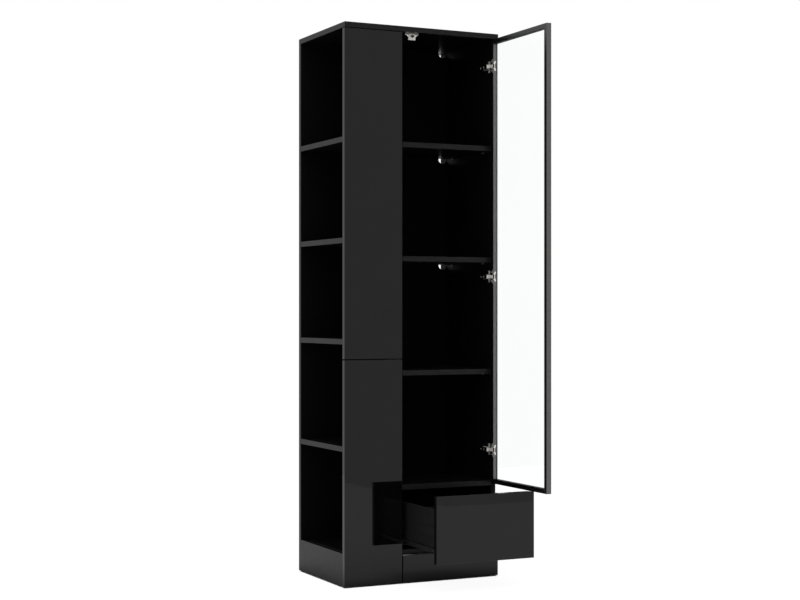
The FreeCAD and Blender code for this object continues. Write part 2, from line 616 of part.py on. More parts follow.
def door_block(name, inward, deep, z):
    """A block of the open door, given by distances from its hinge edge and from its face."""
    return block(name, (f"({DOOR_FACE_X} - {deep[1]})", f"({DOOR_FACE_X} - {deep[0]})"),
                 (f"({DOOR_EDGE_Y} - {inward[1]})", f"({DOOR_EDGE_Y} - {inward[0]})"), z)


def frame_bar(name, length):
    """A mitred bar of the door frame: a chamber behind, and a groove for the glass in front.

    Locally X runs from the outer edge inwards, Y from the face to the back, and Z along the bar.
    """
    section = [("0", "0"), ("frame_face", "0"), ("frame_face", "frame_lip"), ("groove_floor", "frame_lip"),
               ("groove_floor", "frame_lip + glass_groove"), ("frame_face", "frame_lip + glass_groove"),
               ("frame_face", "frame_thick"), ("0", "frame_thick")]
    chamber = rectangle(("frame_wall", "frame_face - frame_wall"), (CHAMBER_START, CHAMBER_END))
    bar = padded(name, "XY_Plane", [section, chamber], length)
    over = f"frame_face + {PAST}"
    near = [("0", "0"), (over, over), (over, f"-{PAST}"), (f"-{PAST}", f"-{PAST}")]
    far = [(across, f"{length} - ({up})") for across, up in near]
    return pocketed(bar, "XZ_Plane", [near, far])


def turned(item, across, back, along, corner):
    """Turn a bar so that its own X, Y and Z point the given ways, with its corner at a place."""
    item.Placement.Rotation = FreeCAD.Rotation(
        FreeCAD.Vector(*across), FreeCAD.Vector(*back), FreeCAD.Vector(*along), "ZXY")
    place(item, *corner)
    return item


def make_door_frame():
    """Four mitred bars with cleats in their corners, the glass and its gasket."""
    back = (-1, 0, 0)
    hinge_bar = turned(frame_bar("hinge_bar", DOOR_TALL), (0, -1, 0), back, (0, 0, -1),
                       (DOOR_FACE_X, DOOR_EDGE_Y, DOOR_HIGH))
    windows = []
    for i, at in enumerate(HINGES):
        tall = tuple(f"({at} {sign} (window_half + cup_sheet + hole_play))" for sign in "-+")
        windows.append(door_block(f"cup_window_{i}", ("frame_wall", "(frame_face - frame_wall)"),
                                  (f"({CHAMBER_END} - {PAST})", f"(frame_thick + {PAST})"), tall))
        sill = (f"({at} - window_half)", f"({at} + window_half)")
        windows.append(door_block(f"cup_sill_{i}", ("(frame_face - frame_wall)", f"(frame_face + {PAST})"),
                                  ("window_sill", f"(frame_thick + {PAST})"), sill))
        for j, sign in enumerate("+-"):
            windows.append(prism(f"cup_screw_hole_{i}_{j}", "x",
                                 (f"({DOOR_FACE_X} - frame_thick - {PAST})",
                                  f"({DOOR_EDGE_Y} - frame_face/2)", f"({at} {sign} cup_screw)"),
                                 "screw_radius + hole_play", f"frame_wall + 2*{PAST}", SLIM_SIDES))
    node("door_stile_hinge", cut("hinge_bar_windows", hinge_bar, windows))

    node("door_stile_free", turned(frame_bar("free_bar", DOOR_TALL), (0, 1, 0), back, (0, 0, 1),
                                   (DOOR_FACE_X, f"({DOOR_EDGE_Y} - {DOOR_WIDTH})", DOOR_LOW)))
    node("door_rail_top", turned(frame_bar("top_bar", DOOR_WIDTH), (0, 0, -1), back, (0, 1, 0),
                                 (DOOR_FACE_X, f"({DOOR_EDGE_Y} - {DOOR_WIDTH})", DOOR_HIGH)))
    node("door_rail_bottom", turned(frame_bar("bottom_bar", DOOR_WIDTH), (0, 0, 1), back, (0, -1, 0),
                                    (DOOR_FACE_X, DOOR_EDGE_Y, DOOR_LOW)))

    def ring(name, inset, deep):
        return door_block(name, (inset, f"({DOOR_WIDTH} - {inset})"), deep,
                          (f"({DOOR_LOW} + {inset})", f"({DOOR_HIGH} - {inset})"))

    glass_deep = ("(frame_lip + (glass_groove - glass_thick)/2)",
                  "(frame_lip + (glass_groove + glass_thick)/2)")
    node("door_glass", ring("glass_pane", "glass_inset", glass_deep))
    outer = ring("gasket_outer", "(groove_floor + gasket_play)",
                 ("(frame_lip + gasket_play)", "(frame_lip + glass_groove - gasket_play)"))
    slot = ring("gasket_slot", "(glass_inset - gasket_play)",
                (f"({glass_deep[0]} - gasket_play)", f"({glass_deep[1]} + gasket_play)"))
    window = ring("gasket_window", "gasket_lip", ("0", "frame_thick"))
    node("glass_gasket", cut("gasket", outer, [fused("gasket_inside", [slot, window])]))

    cleats = []
    thick = (f"({CHAMBER_START} + cleat_play)", f"({CHAMBER_END} - cleat_play)")
    inner = "(frame_face - frame_wall - cleat_play)"
    outer_edge = "(frame_wall + cleat_play)"
    for i, at_hinge in enumerate((True, False)):
        for j, at_top in enumerate((True, False)):
            def across(distance, at_hinge=at_hinge):
                return distance if at_hinge else f"({DOOR_WIDTH} - {distance})"

            def tall(distance, at_top=at_top):
                return f"({DOOR_HIGH} - {distance})" if at_top else f"({DOOR_LOW} + {distance})"

            def ordered(first, second, swap):
                return (second, first) if swap else (first, second)

            upright = door_block(
                f"cleat_upright_{i}{j}", ordered(across(outer_edge), across(inner), not at_hinge), thick,
                ordered(tall(outer_edge), tall("cleat_leg"), at_top))
            level = door_block(
                f"cleat_level_{i}{j}", ordered(across(outer_edge), across("cleat_leg"), not at_hinge), thick,
                ordered(tall(outer_edge), tall(inner), at_top))
            cleats.append(fused(f"cleat_{i}{j}", [upright, level]))
    node("corner_cleats", group("cleats", cleats))


# ---------------------------------------------------------------- concealed hinges
# The cup's pivot goes from one place to another as the door turns by a right angle about its
# axis. The arm's pivot lies on the line that has both places at the same distance.
CUP_SIDE = "(cup_inset - pivot_inset)"
CUP_BACK = "(cup_depth - pivot_depth)"
ARM_PIVOT_X = f"({SIDE_IN} - arm_offset)"
ARM_PIVOT_Y = (f"({PIVOT_Y} + ({PIVOT_X} - {ARM_PIVOT_X})"
               f"*({CUP_BACK} - {CUP_SIDE})/({CUP_BACK} + {CUP_SIDE}))")
CUP_PIVOT_X = f"({PIVOT_X} - {CUP_BACK})"
CUP_PIVOT_Y = f"({PIVOT_Y} - {CUP_SIDE})"
LINK_LENGTH = f"sqrt(({CUP_PIVOT_X} - {ARM_PIVOT_X})^2 + ({CUP_PIVOT_Y} - {ARM_PIVOT_Y})^2)"
LINK_ANGLE = f"atan2({CUP_PIVOT_Y} - {ARM_PIVOT_Y}; {CUP_PIVOT_X} - {ARM_PIVOT_X})"


def hinge_arm(name, at):
    """A pressed arm: a channel that is open towards the side panel, with ears for the pin."""
    outer, foot = f"({SIDE_IN} - arm_reach)", f"({SIDE_IN} - arm_base)"
    nose = f"({ARM_PIVOT_Y} - arm_nose)"
    profile = [(outer, nose), (f"({ARM_PIVOT_X} + arm_nose)", nose), (foot, "plate_front + arm_nose"),
               (foot, "arm_back"), (outer, "arm_back")]
    arm = padded(f"{name}_body", "XY_Plane", [profile], "2*arm_half", middle=True)
    place(arm, "0", "0", at)
    hollow = block(f"{name}_hollow", (f"({outer} + arm_wall)", f"({foot} + {PAST})"),
                   (f"({nose} - {PAST})", "(arm_back - arm_wall)"),
                   (f"({at} - arm_half + arm_wall)", f"({at} + arm_half - arm_wall)"))
    pin_hole = prism(f"{name}_pin_hole", "z", (ARM_PIVOT_X, ARM_PIVOT_Y, f"({at} - arm_half - {PAST})"),
                     "hinge_pin + hole_play", f"2*arm_half + 2*{PAST}", PIN_HOLE_SIDES)
    screw_holes = [prism(f"{name}_screw_hole_{j}", "x", (f"({outer} - {PAST})", deep, at),
                         "arm_screw + hole_play", f"arm_wall + 2*{PAST}", WIDE_SIDES)
                   for j, deep in enumerate(("arm_screw_front", "arm_screw_back"))]
    return cut(name, arm, [hollow, pin_hole] + screw_holes)


def mounting_plate(name, at):
    """A plate on the side panel with two wings for its screws and a block that fills the arm."""
    deep = ("plate_front", "(arm_back - arm_wall - hole_play)")
    base = block(f"{name}_base", (f"({SIDE_IN} - arm_base)", SIDE_IN), deep,
                 (f"({at} - plate_half)", f"({at} + plate_half)"))
    core = block(f"{name}_core", (f"({SIDE_IN} - arm_reach + arm_wall + hole_play)", SIDE_IN),
                 ("(arm_screw_front - 2*arm_screw)", deep[1]),
                 (f"({at} - arm_half + arm_wall + hole_play)", f"({at} + arm_half - arm_wall - hole_play)"))
    wings = block(f"{name}_wings", (f"({SIDE_IN} - wing_thick)", SIDE_IN),
                  ("(wing_place - wing_width/2)", "(wing_place + wing_width/2)"),
                  (f"({at} - wing_half)", f"({at} + wing_half)"))
    holes = [prism(f"{name}_hole_{sign}", "x", (f"({SIDE_IN} - wing_thick - {PAST})", "wing_place",
                                                f"({at} {mark} wing_screw)"),
                   "screw_radius + hole_play", f"wing_thick + 2*{PAST}", SLIM_SIDES)
             for sign, mark in (("up", "+"), ("down", "-"))]
    holes += [prism(f"{name}_arm_hole_{j}", "x", (f"({SIDE_IN} - arm_reach)", deep_at, at),
                    "arm_screw + hole_play", "arm_reach - arm_base + arm_wall", WIDE_SIDES)
              for j, deep_at in enumerate(("arm_screw_front", "arm_screw_back"))]
    return cut(name, fused(f"{name}_solid", [base, core, wings]), holes)


def hinge_link(name, at):
    """A link with an eye round the arm's pin and a rounded tip that reaches the cup's pivot."""
    low, tall = f"({at} - link_half)", "2*link_half"
    bar = doc.addObject("Part::Box", f"{name}_bar")
    bar.Placement.Rotation = FreeCAD.Rotation(FreeCAD.Vector(0, 0, 1), value(LINK_ANGLE))
    bind(bar, {"Length": LINK_LENGTH, "Width": "link_thick", "Height": tall,
               "Placement.Rotation.Angle": LINK_ANGLE})
    place(bar, f"{ARM_PIVOT_X} + link_thick/2*sin({LINK_ANGLE})",
          f"{ARM_PIVOT_Y} - link_thick/2*cos({LINK_ANGLE})", low)
    eye = prism(f"{name}_eye", "z", (ARM_PIVOT_X, ARM_PIVOT_Y, low), "link_eye", tall, WIDE_SIDES)
    tip = prism(f"{name}_tip", "z", (CUP_PIVOT_X, CUP_PIVOT_Y, low), "link_thick/2", tall, WIDE_SIDES)
    bore = rod(f"{name}_bore", "z", (ARM_PIVOT_X, ARM_PIVOT_Y, f"({low} - {PAST})"),
               "hinge_pin + pin_play", f"{tall} + 2*{PAST}")
    return cut(name, fused(f"{name}_solid", [bar, eye, tip]), [bore])


def hinge_cup(name, at):
    """A pressed cup: cheeks beside the link, a wall at the hinge edge, and a flange with two lugs."""
    pieces = []
    inside = ("(frame_wall + hole_play)", "(frame_face - frame_wall - hole_play)")
    depth = (f"({CHAMBER_START} + hole_play)", "(frame_thick + cup_sheet)")
    for label, sign in (("up", "+"), ("down", "-")):
        near, far = f"({at} {sign} window_half)", f"({at} {sign} (window_half + cup_sheet))"
        edge = f"({at} {sign} cup_flange)"
        span, lug = ((near, far), (near, edge)) if sign == "+" else ((far, near), (edge, near))
        pieces.append(door_block(f"{name}_cheek_{label}", inside, depth, span))
        pieces.append(door_block(f"{name}_lug_{label}", inside, ("frame_thick", depth[1]), lug))
        stub_start = f"({at} + window_half - stub_length)" if sign == "+" else f"({at} - window_half)"
        pieces.append(prism(f"{name}_stub_{label}", "z", (CUP_PIVOT_X, CUP_PIVOT_Y, stub_start),
                            "hinge_pin", "stub_length", SLIM_SIDES))
    pieces.append(door_block(f"{name}_wall", (inside[0], "window_near"), (depth[0], "frame_thick"),
                             (f"({at} - window_half)", f"({at} + window_half)")))
    holes = [cup_screw(f"{name}_hole_{label}", f"({at} {sign} cup_screw)", "hole_play")
             for label, sign in (("up", "+"), ("down", "-"))]
    return cut(name, fused(f"{name}_solid", pieces), holes)


def cup_screw(name, z, play):
    """A flat-head screw, flush with the cup's lug, or with play the hole for it."""
    start = (f"({DOOR_FACE_X} - frame_thick - cup_sheet)", f"({DOOR_EDGE_Y} - frame_face/2)", z)
    head = prism(f"{name}_head", "x", start, f"screw_head + {play}", "cup_sheet", WIDE_SIDES)
    shank = prism(f"{name}_shank", "x", start, f"screw_radius + {play}",
                  "cup_sheet + frame_wall + screw_past", SLIM_SIDES)
    return fused(name, [head, shank])


def make_hinges():
    """Three concealed hinges, each piece in one node for all three."""
    node("hinge_arms", group("arms", [hinge_arm(f"arm_{i}", at) for i, at in enumerate(HINGES)]))
    node("hinge_plates", group("plates", [mounting_plate(f"plate_{i}", at) for i, at in enumerate(HINGES)]))
    node("hinge_pins", group("pins", [
        rod(f"pin_{i}", "z", (ARM_PIVOT_X, ARM_PIVOT_Y, f"({at} - arm_half)"), "hinge_pin", "2*arm_half")
        for i, at in enumerate(HINGES)]))
    node("hinge_links", group("links", [hinge_link(f"link_{i}", at) for i, at in enumerate(HINGES)]))
    node("hinge_cups", group("cups", [hinge_cup(f"cup_{i}", at) for i, at in enumerate(HINGES)]))
    node("hinge_arm_screws", group("arm_screws", [
        prism(f"arm_screw_{i}_{j}", "x", (f"({SIDE_IN} - arm_reach - head_height/2)", deep, at),
              "arm_screw", "arm_reach - arm_base", WIDE_SIDES)
        for i, at in enumerate(HINGES) for j, deep in enumerate(("arm_screw_front", "arm_screw_back"))]))
    node("hinge_cup_screws", group("cup_screws", [
        cup_screw(f"cup_screw_{i}_{j}", f"({at} {sign} cup_screw)", "0")
        for i, at in enumerate(HINGES) for j, sign in enumerate("+-")]))


# ---------------------------------------------------------------- push latches
def make_door_latch():
    """A push latch under the top panel: housing, winged bracket and plunger."""
    middle = LATCH_MIDDLE
    centre = f"({UNDER_TOP} - plunger_drop)"
    across = (f"({middle} - latch_width/2)", f"({middle} + latch_width/2)")
    shell = block("latch_shell", across, ("latch_front", "(latch_front + latch_length)"),
                  (f"({UNDER_TOP} - latch_drop)", UNDER_TOP))
    bore = rod("latch_bore", "y", (middle, f"(latch_front - {PAST})", centre),
               "plunger_radius + plunger_play", f"plunger_inside + plunger_travel + 2*{PAST}")
    node("latch_housing", cut("latch_housing_bored", shell, [bore]))

    half, tip, root = "latch_wings/2", "(-wing_tip)", "(-wing_root)"
    inner = "(latch_width/2 + hole_play)"
    wing = [(inner, "0"), (half, "0"), (half, tip), (inner, root)]
    mirrored = [(f"(-{across_at})", up) for across_at, up in wing]
    strap = rectangle((f"(-{inner})", inner), ("(-latch_drop - bracket_thick)", "(-latch_drop - hole_play)"))
    wings = []
    for i, loop in enumerate((wing, mirrored)):
        plate = padded(f"bracket_wing_{i}", "XZ_Plane", [loop], "bracket_thick", reverse=True)
        place(plate, middle, "(latch_front + bracket_thick)", UNDER_TOP)
        wings.append(plate)
    cheeks = []
    for i, side in enumerate((-1, 1)):
        ends = (f"({middle} + {inner})", f"({middle} + {inner} + bracket_thick)") if side > 0 else \
            (f"({middle} - {inner} - bracket_thick)", f"({middle} - {inner})")
        cheeks.append(block(f"bracket_cheek_{i}", ends, ("(latch_front + bracket_thick)",
                                                         "(latch_front + latch_length/2)"),
                            (f"({UNDER_TOP} - latch_drop - bracket_thick)", UNDER_TOP)))
    floor = padded("bracket_strap", "XZ_Plane", [strap], "(latch_length/2 - bracket_thick)", reverse=True)
    place(floor, middle, "(latch_front + bracket_thick)", UNDER_TOP)
    feet = [block(f"bracket_foot_{i}", ends, ("(latch_front + bracket_thick)",
                                              "(latch_front + latch_length/2)"),
                  (f"({UNDER_TOP} - bracket_thick)", UNDER_TOP))
            for i, ends in enumerate(((f"({middle} - {half})", f"({middle} - {inner})"),
                                      (f"({middle} + {inner})", f"({middle} + {half})")))]
    holes = [screw_hole(f"bracket_hole_{i}", *spot) for i, spot in enumerate(LATCH_SCREWS)]
    node("latch_bracket", cut("bracket", fused("bracket_solid", wings + cheeks + [floor] + feet), holes))

    tip_y = "(-front_gap + plunger_gap)"
    node("latch_plunger", rod("door_plunger", "y", (middle, tip_y, centre), "plunger_radius",
                              f"latch_front + plunger_inside - {tip_y}"))


def make_drawer_latch():
    """A push latch on the display back, behind the closed drawer."""
    middle = f"(({DIVIDER_RIGHT} + {SIDE_IN})/2)"
    centre = f"({BOTTOM_TOP} + drawer_latch_high)"
    shell_front = f"({BACK_FACE} - drawer_latch_length)"
    shell = block("drawer_latch_shell", (f"({middle} - latch_width/2)", f"({middle} + latch_width/2)"),
                  (shell_front, BACK_FACE), (f"({centre} - latch_width/2)", f"({centre} + latch_width/2)"))
    bore = rod("drawer_latch_bore", "y", (middle, f"({shell_front} - {PAST})", centre),
               "plunger_radius + plunger_play", f"plunger_inside + plunger_travel + 2*{PAST}")
    node("drawer_latch_housing", cut("drawer_latch_bored", shell, [bore]))
    tip_y = "(-front_gap + drawer_length + plunger_gap)"
    node("drawer_latch_plunger", rod("drawer_plunger", "y", (middle, tip_y, centre), "plunger_radius",
                                     f"{shell_front} + plunger_inside - {tip_y}"))


# ---------------------------------------------------------------- drawer
DRAWER_START = "(-front_gap - drawer_length + drawer_kept)"  # the back of the pulled-out drawer front
DRAWER_END = f"({DRAWER_START} + drawer_length)"
DRAWER_LEFT = f"({DIVIDER_RIGHT} + runner_gap)"
DRAWER_RIGHT = f"({SIDE_IN} - runner_gap)"
DRAWER_LOW = f"({BOTTOM_TOP} + drawer_lift)"
DRAWER_HIGH = f"({DRAWER_LOW} + drawer_side_height)"
FLOOR_LOW = f"({DRAWER_LOW} + drawer_bottom_up)"
FLOOR_HIGH = f"({FLOOR_LOW} + drawer_bottom_thick)"
DRAWER_BACK_HIGH = f"({DRAWER_HIGH} - drawer_back_drop)"
DRAWER_LEVELS = [f"({FLOOR_HIGH} + drawer_joint_up)", f"({DRAWER_BACK_HIGH} - drawer_joint_down)"]


def make_drawer():
    """A box of two sides and a back on a grooved bottom, with a front that has no handle."""
    inner = (f"({DRAWER_LEFT} + drawer_side)", f"({DRAWER_RIGHT} - drawer_side)")
    grooved = (f"({inner[0]} - drawer_groove)", f"({inner[1]} + drawer_groove)")
    groove = (f"({grooved[0]} - groove_play)", f"({grooved[1]} + groove_play)")
    floor_deep = (f"({DRAWER_START} - drawer_groove)", DRAWER_END)
    slot_z = (f"({FLOOR_LOW} - groove_play)", f"({FLOOR_HIGH} + groove_play)")
    slot_y = (f"({DRAWER_START} - drawer_groove - groove_play)", f"({DRAWER_END} + {PAST})")

    front = panel("drawer_front_board", (MOVING_LEFT, MOVING_RIGHT),
                  (f"({DRAWER_START} - front_thick)", DRAWER_START),
                  (DRAWER_FRONT_LOW, f"({DRAWER_FRONT_LOW} + drawer_front_height)"))
    screw_spots = drawer_screw_spots()
    dowel_spots = {"left": f"({DRAWER_LEFT} + drawer_side/2)", "right": f"({DRAWER_RIGHT} - drawer_side/2)"}
    front_holes = [drawer_dowel(f"drawer_front_hole_{label}_{i}", across, level, "hole_play")
                   for label, across in dowel_spots.items() for i, level in enumerate(DRAWER_LEVELS)]
    node("drawer_front", cut("drawer_front_grooved", front,
                             [block("front_groove", groove, slot_y, slot_z)] + front_holes))
    for label, ends in (("left", (DRAWER_LEFT, inner[0])), ("right", (inner[1], DRAWER_RIGHT))):
        side = panel(f"drawer_side_board_{label}", ends, (DRAWER_START, DRAWER_END),
                     (DRAWER_LOW, DRAWER_HIGH))
        holes = [screw_hole(f"drawer_{label}_hole_{i}", *spot) for i, spot in enumerate(screw_spots[label])]
        holes += [drawer_dowel(f"drawer_{label}_dowel_hole_{i}", dowel_spots[label], level, "hole_play")
                  for i, level in enumerate(DRAWER_LEVELS)]
        node(f"drawer_side_{label}", cut(f"drawer_side_grooved_{label}", side, [
            block(f"side_groove_{label}", groove, slot_y, slot_z)] + holes))
    back = panel("drawer_back_board", inner, (f"({DRAWER_END} - drawer_side)", DRAWER_END),
                 (f"({FLOOR_HIGH} + groove_play)", DRAWER_BACK_HIGH))
    back_holes = [screw_hole(f"drawer_back_hole_{i}", *spot)
                  for i, spot in enumerate(screw_spots["left"] + screw_spots["right"])]
    node("drawer_back", cut("drawer_back_drilled", back, back_holes))
    node("drawer_bottom", block("drawer_bottom_sheet", grooved, floor_deep, (FLOOR_LOW, FLOOR_HIGH)))
    node("drawer_screws", group("drawer_screw_set", [
        screw(f"drawer_screw_{i}", *spot)
        for i, spot in enumerate(screw_spots["left"] + screw_spots["right"])]))
    node("drawer_dowels", group("drawer_dowel_set", [
        drawer_dowel(f"drawer_dowel_{label}_{i}", across, level, "0")
        for label, across in dowel_spots.items() for i, level in enumerate(DRAWER_LEVELS)]))


def drawer_dowel(name, across, level, play):
    """A dowel from the drawer front into the end of a side, or with play the hole for it."""
    return prism(name, "y", (across, f"({DRAWER_START} - drawer_dowel_front - {play})", level),
                 f"drawer_dowel + {play}", f"drawer_dowel_front + drawer_dowel_side + 2*{play}", SLIM_SIDES)


def drawer_screw_spots():
    """The screws through the drawer's sides into its back."""
    deep = f"({DRAWER_END} - drawer_side/2)"
    sunk = "(drawer_side + screw_sunk)"
    return {"left": [("x", -1, DRAWER_LEFT, deep, level, sunk) for level in DRAWER_LEVELS],
            "right": [("x", +1, DRAWER_RIGHT, deep, level, sunk) for level in DRAWER_LEVELS]}


# ---------------------------------------------------------------- roller runners
ROLLER_HEIGHT = f"({RUNNER_LOW} + runner_sheet + roller_radius + roller_clear)"
FIXED_ROLLER_Y = "(runner_start + roller_inset)"
DRAWER_ROLLER_Y = f"({DRAWER_END} - roller_inset)"


def mirror_loop(loop, side):
    """Swap a section from the left runner to the right one."""
    return [(across if side > 0 else f"(-({across}))", up) for across, up in loop]


def make_runner(label, side):
    """The fixed runner and the drawer's runner of one side. side is +1 on the left."""
    wall = DIVIDER_RIGHT if side > 0 else SIDE_IN
    slide = DRAWER_LEFT if side > 0 else DRAWER_RIGHT
    towards = "+" if side > 0 else "-"
    channel = [("0", "0"), ("runner_flange", "0"), ("runner_flange", "runner_sheet"),
               ("runner_sheet", "runner_sheet"), ("runner_sheet", f"{RUNNER_RISE} - runner_sheet"),
               ("runner_flange", f"{RUNNER_RISE} - runner_sheet"), ("runner_flange", RUNNER_RISE),
               ("0", RUNNER_RISE)]
    fixed = padded(f"fixed_runner_{label}", "XZ_Plane", [mirror_loop(channel, side)], "drawer_length",
                   reverse=True)
    place(fixed, wall, "runner_start", RUNNER_LOW)
    roller_start = f"({wall} {towards} (runner_sheet + roller_clear))"
    axle_end = f"({wall} {towards} runner_gap)"
    holes = [screw_hole(f"fixed_runner_hole_{label}_{i}", *spot)
             for i, spot in enumerate(LEFT_RUNNER_SCREWS if side > 0 else RIGHT_RUNNER_SCREWS)]
    drilled = cut(f"fixed_runner_drilled_{label}", fixed, holes)
    axle_low = f"({wall} + runner_sheet/2)" if side > 0 else \
        f"({wall} - runner_sheet - 2*roller_clear - roller_width)"
    axle = rod(f"fixed_axle_{label}", "x", (axle_low, FIXED_ROLLER_Y, ROLLER_HEIGHT), "axle_radius",
               "runner_sheet/2 + 2*roller_clear + roller_width")
    node(f"runner_fixed_{label}", fused(f"fixed_runner_axled_{label}", [drilled, axle]))

    section = [("0", "0"), ("0", SLIDE_RISE), ("-runner_sheet - slide_lip", SLIDE_RISE),
               ("-runner_sheet - slide_lip", f"{SLIDE_RISE} - runner_sheet"),
               ("-runner_sheet", f"{SLIDE_RISE} - runner_sheet"), ("-runner_sheet", "-runner_sheet"),
               ("slide_shelf", "-runner_sheet"), ("slide_shelf", "0")]
    rail = padded(f"slide_runner_{label}", "XZ_Plane", [mirror_loop(section, side)], "drawer_length",
                  reverse=True)
    place(rail, slide, DRAWER_START, DRAWER_LOW)
    lip_low = f"({slide} - runner_sheet - slide_lip - {PAST})" if side > 0 else f"({slide} + runner_sheet)"
    lip_high = f"({slide} - runner_sheet)" if side > 0 else f"({slide} + runner_sheet + slide_lip + {PAST})"
    clearing = block(f"lip_end_{label}", (lip_low, lip_high),
                     (f"({DRAWER_ROLLER_Y} - roller_radius - lip_short)", f"({DRAWER_END} + {PAST})"),
                     (DRAWER_LOW, f"({DRAWER_LOW} + {SLIDE_RISE} + {PAST})"))
    trimmed = cut(f"slide_runner_trimmed_{label}", rail, [clearing])
    axle_start = f"({slide} - runner_sheet - 2*roller_clear - roller_width)" if side > 0 else \
        f"({slide} + runner_sheet/2)"
    slide_axle = rod(f"slide_axle_{label}", "x", (axle_start, DRAWER_ROLLER_Y, ROLLER_HEIGHT), "axle_radius",
                     "runner_sheet/2 + 2*roller_clear + roller_width")
    node(f"runner_drawer_{label}", fused(f"slide_runner_axled_{label}", [trimmed, slide_axle]))

    def roller(name, low, deep):
        wheel = rod(f"{name}_wheel", "x", (low, deep, ROLLER_HEIGHT), "roller_radius", "roller_width")
        bore = rod(f"{name}_bore", "x", (f"({low} - {PAST})", deep, ROLLER_HEIGHT),
                   "axle_radius + axle_play", f"roller_width + 2*{PAST}")
        return cut(name, wheel, [bore])

    fixed_low = roller_start if side > 0 else f"({wall} - runner_sheet - roller_clear - roller_width)"
    moving_low = f"({slide} - runner_sheet - roller_clear - roller_width)" if side > 0 else \
        f"({slide} + runner_sheet + roller_clear)"
    node(f"carcass_roller_{label}", roller(f"front_roller_{label}", fixed_low, FIXED_ROLLER_Y))
    node(f"drawer_roller_{label}", roller(f"rear_roller_{label}", moving_low, DRAWER_ROLLER_Y))


make_carcass()
make_backs()
make_fixed_fronts()
make_small_fittings()
make_door_frame()
make_hinges()
make_door_latch()
make_drawer_latch()
make_drawer()
make_runner("left", +1)
make_runner("right", -1)

# ---------------------------------------------------------------- check and write
doc.recompute()
failed = [item.Label for item in doc.Objects if {"Invalid", "Error"} & set(item.State)]
if failed:
    raise RuntimeError(f"objects that did not build: {failed}")
for item in nodes:
    if item.Shape.isNull() or not item.Shape.isValid() or not item.Shape.Solids:
        raise RuntimeError(f"{item.Label} has no valid solid")

os.makedirs("parts", exist_ok=True)
for item in nodes:
    item.Shape.exportStep(os.path.join("parts", f"{item.Label}.step"))
    box = item.Shape.BoundBox
    print(f"{item.Label:22s} {len(item.Shape.Solids):3d} solids  X {box.XMin:8.2f} {box.XMax:8.2f}  "
          f"Y {box.YMin:8.2f} {box.YMax:8.2f}  Z {box.ZMin:8.2f} {box.ZMax:8.2f}")
print(f"{len(nodes)} nodes")
print(f"axis of the door: {value(PIVOT_X):.3f}, {value(PIVOT_Y):.3f}")
print(f"arm pivot: {value(ARM_PIVOT_X):.3f}, {value(ARM_PIVOT_Y):.3f}, link {value(LINK_LENGTH):.3f}"
      f" at {value(LINK_ANGLE):.3f} degrees")
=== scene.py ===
# %% [markdown]
# # A tall black bookcase
# The bookcase has high-gloss fronts, open shelves at the side, a display bay behind a framed
# glass door, and a drawer below it. Its shapes come from the CAD model, which is loaded as a
# fixed frame. This lesson gives every board and fitting the finish of its real counterpart, and
# replaces the small metal parts with pieces that have rounded edges and screw recesses.

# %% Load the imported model
import json
import math
from collections import namedtuple

import bmesh
import bpy
from mathutils import Matrix, Vector

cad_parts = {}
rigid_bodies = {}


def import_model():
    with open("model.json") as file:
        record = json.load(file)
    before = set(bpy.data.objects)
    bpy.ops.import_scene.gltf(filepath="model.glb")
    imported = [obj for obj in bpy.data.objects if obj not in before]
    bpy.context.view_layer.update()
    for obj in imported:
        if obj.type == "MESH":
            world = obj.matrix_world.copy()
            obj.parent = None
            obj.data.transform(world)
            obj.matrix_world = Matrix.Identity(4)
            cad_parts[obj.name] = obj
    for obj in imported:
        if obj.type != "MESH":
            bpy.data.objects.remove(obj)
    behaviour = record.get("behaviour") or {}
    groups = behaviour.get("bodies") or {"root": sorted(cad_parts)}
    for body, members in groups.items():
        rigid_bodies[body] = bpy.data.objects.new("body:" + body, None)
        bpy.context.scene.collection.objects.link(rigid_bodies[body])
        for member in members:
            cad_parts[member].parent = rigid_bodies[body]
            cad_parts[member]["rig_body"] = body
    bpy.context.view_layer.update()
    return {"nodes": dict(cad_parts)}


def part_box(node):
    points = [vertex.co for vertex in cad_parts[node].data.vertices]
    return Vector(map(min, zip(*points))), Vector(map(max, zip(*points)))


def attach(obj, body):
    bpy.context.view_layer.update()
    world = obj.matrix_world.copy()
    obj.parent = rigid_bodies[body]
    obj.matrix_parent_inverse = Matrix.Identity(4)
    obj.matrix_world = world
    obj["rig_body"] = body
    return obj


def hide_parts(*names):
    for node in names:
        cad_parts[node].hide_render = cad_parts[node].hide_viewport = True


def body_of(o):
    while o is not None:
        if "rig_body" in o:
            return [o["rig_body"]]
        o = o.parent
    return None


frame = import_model()
nodes = frame["nodes"]
MM = 0.001

# %% [markdown]
# ## Colours and shader nodes
# A designer writes a colour as an sRGB hex value, but a shader works in linear light, so one
# function turns the first into the second. A second function adds one shader node with its
# settings and its links, and a third does the same for one step of arithmetic. They keep every
# material short enough to read as a recipe.

# %% Helpers for materials
def linear(hex_colour):
    """Turn an sRGB hex value into the linear colour that a shader needs."""
    shades = [int(hex_colour[i:i + 2], 16) / 255 for i in (1, 3, 5)]
    lights = [c / 12.92 if c <= 0.04045 else ((c + 0.055) / 1.055) ** 2.4 for c in shades]
    return (*lights, 1.0)


def add_node(tree, kind, feeds=None, **settings):
    """Add one node. feeds gives each socket a value, or the output that is linked to it."""
    made = tree.nodes.new(kind)
    for name, setting in settings.items():
        setattr(made, name, setting)
    for name, feed in (feeds or {}).items():
        if isinstance(feed, bpy.types.NodeSocket):
            tree.links.new(feed, made.inputs[name])
        else:
            made.inputs[name].default_value = feed
    return made


def work_out(tree, operation, *values, kind="ShaderNodeMath"):
    """Add a node for one step of arithmetic, and return its output."""
    return add_node(tree, kind, dict(enumerate(values)), operation=operation).outputs[0]


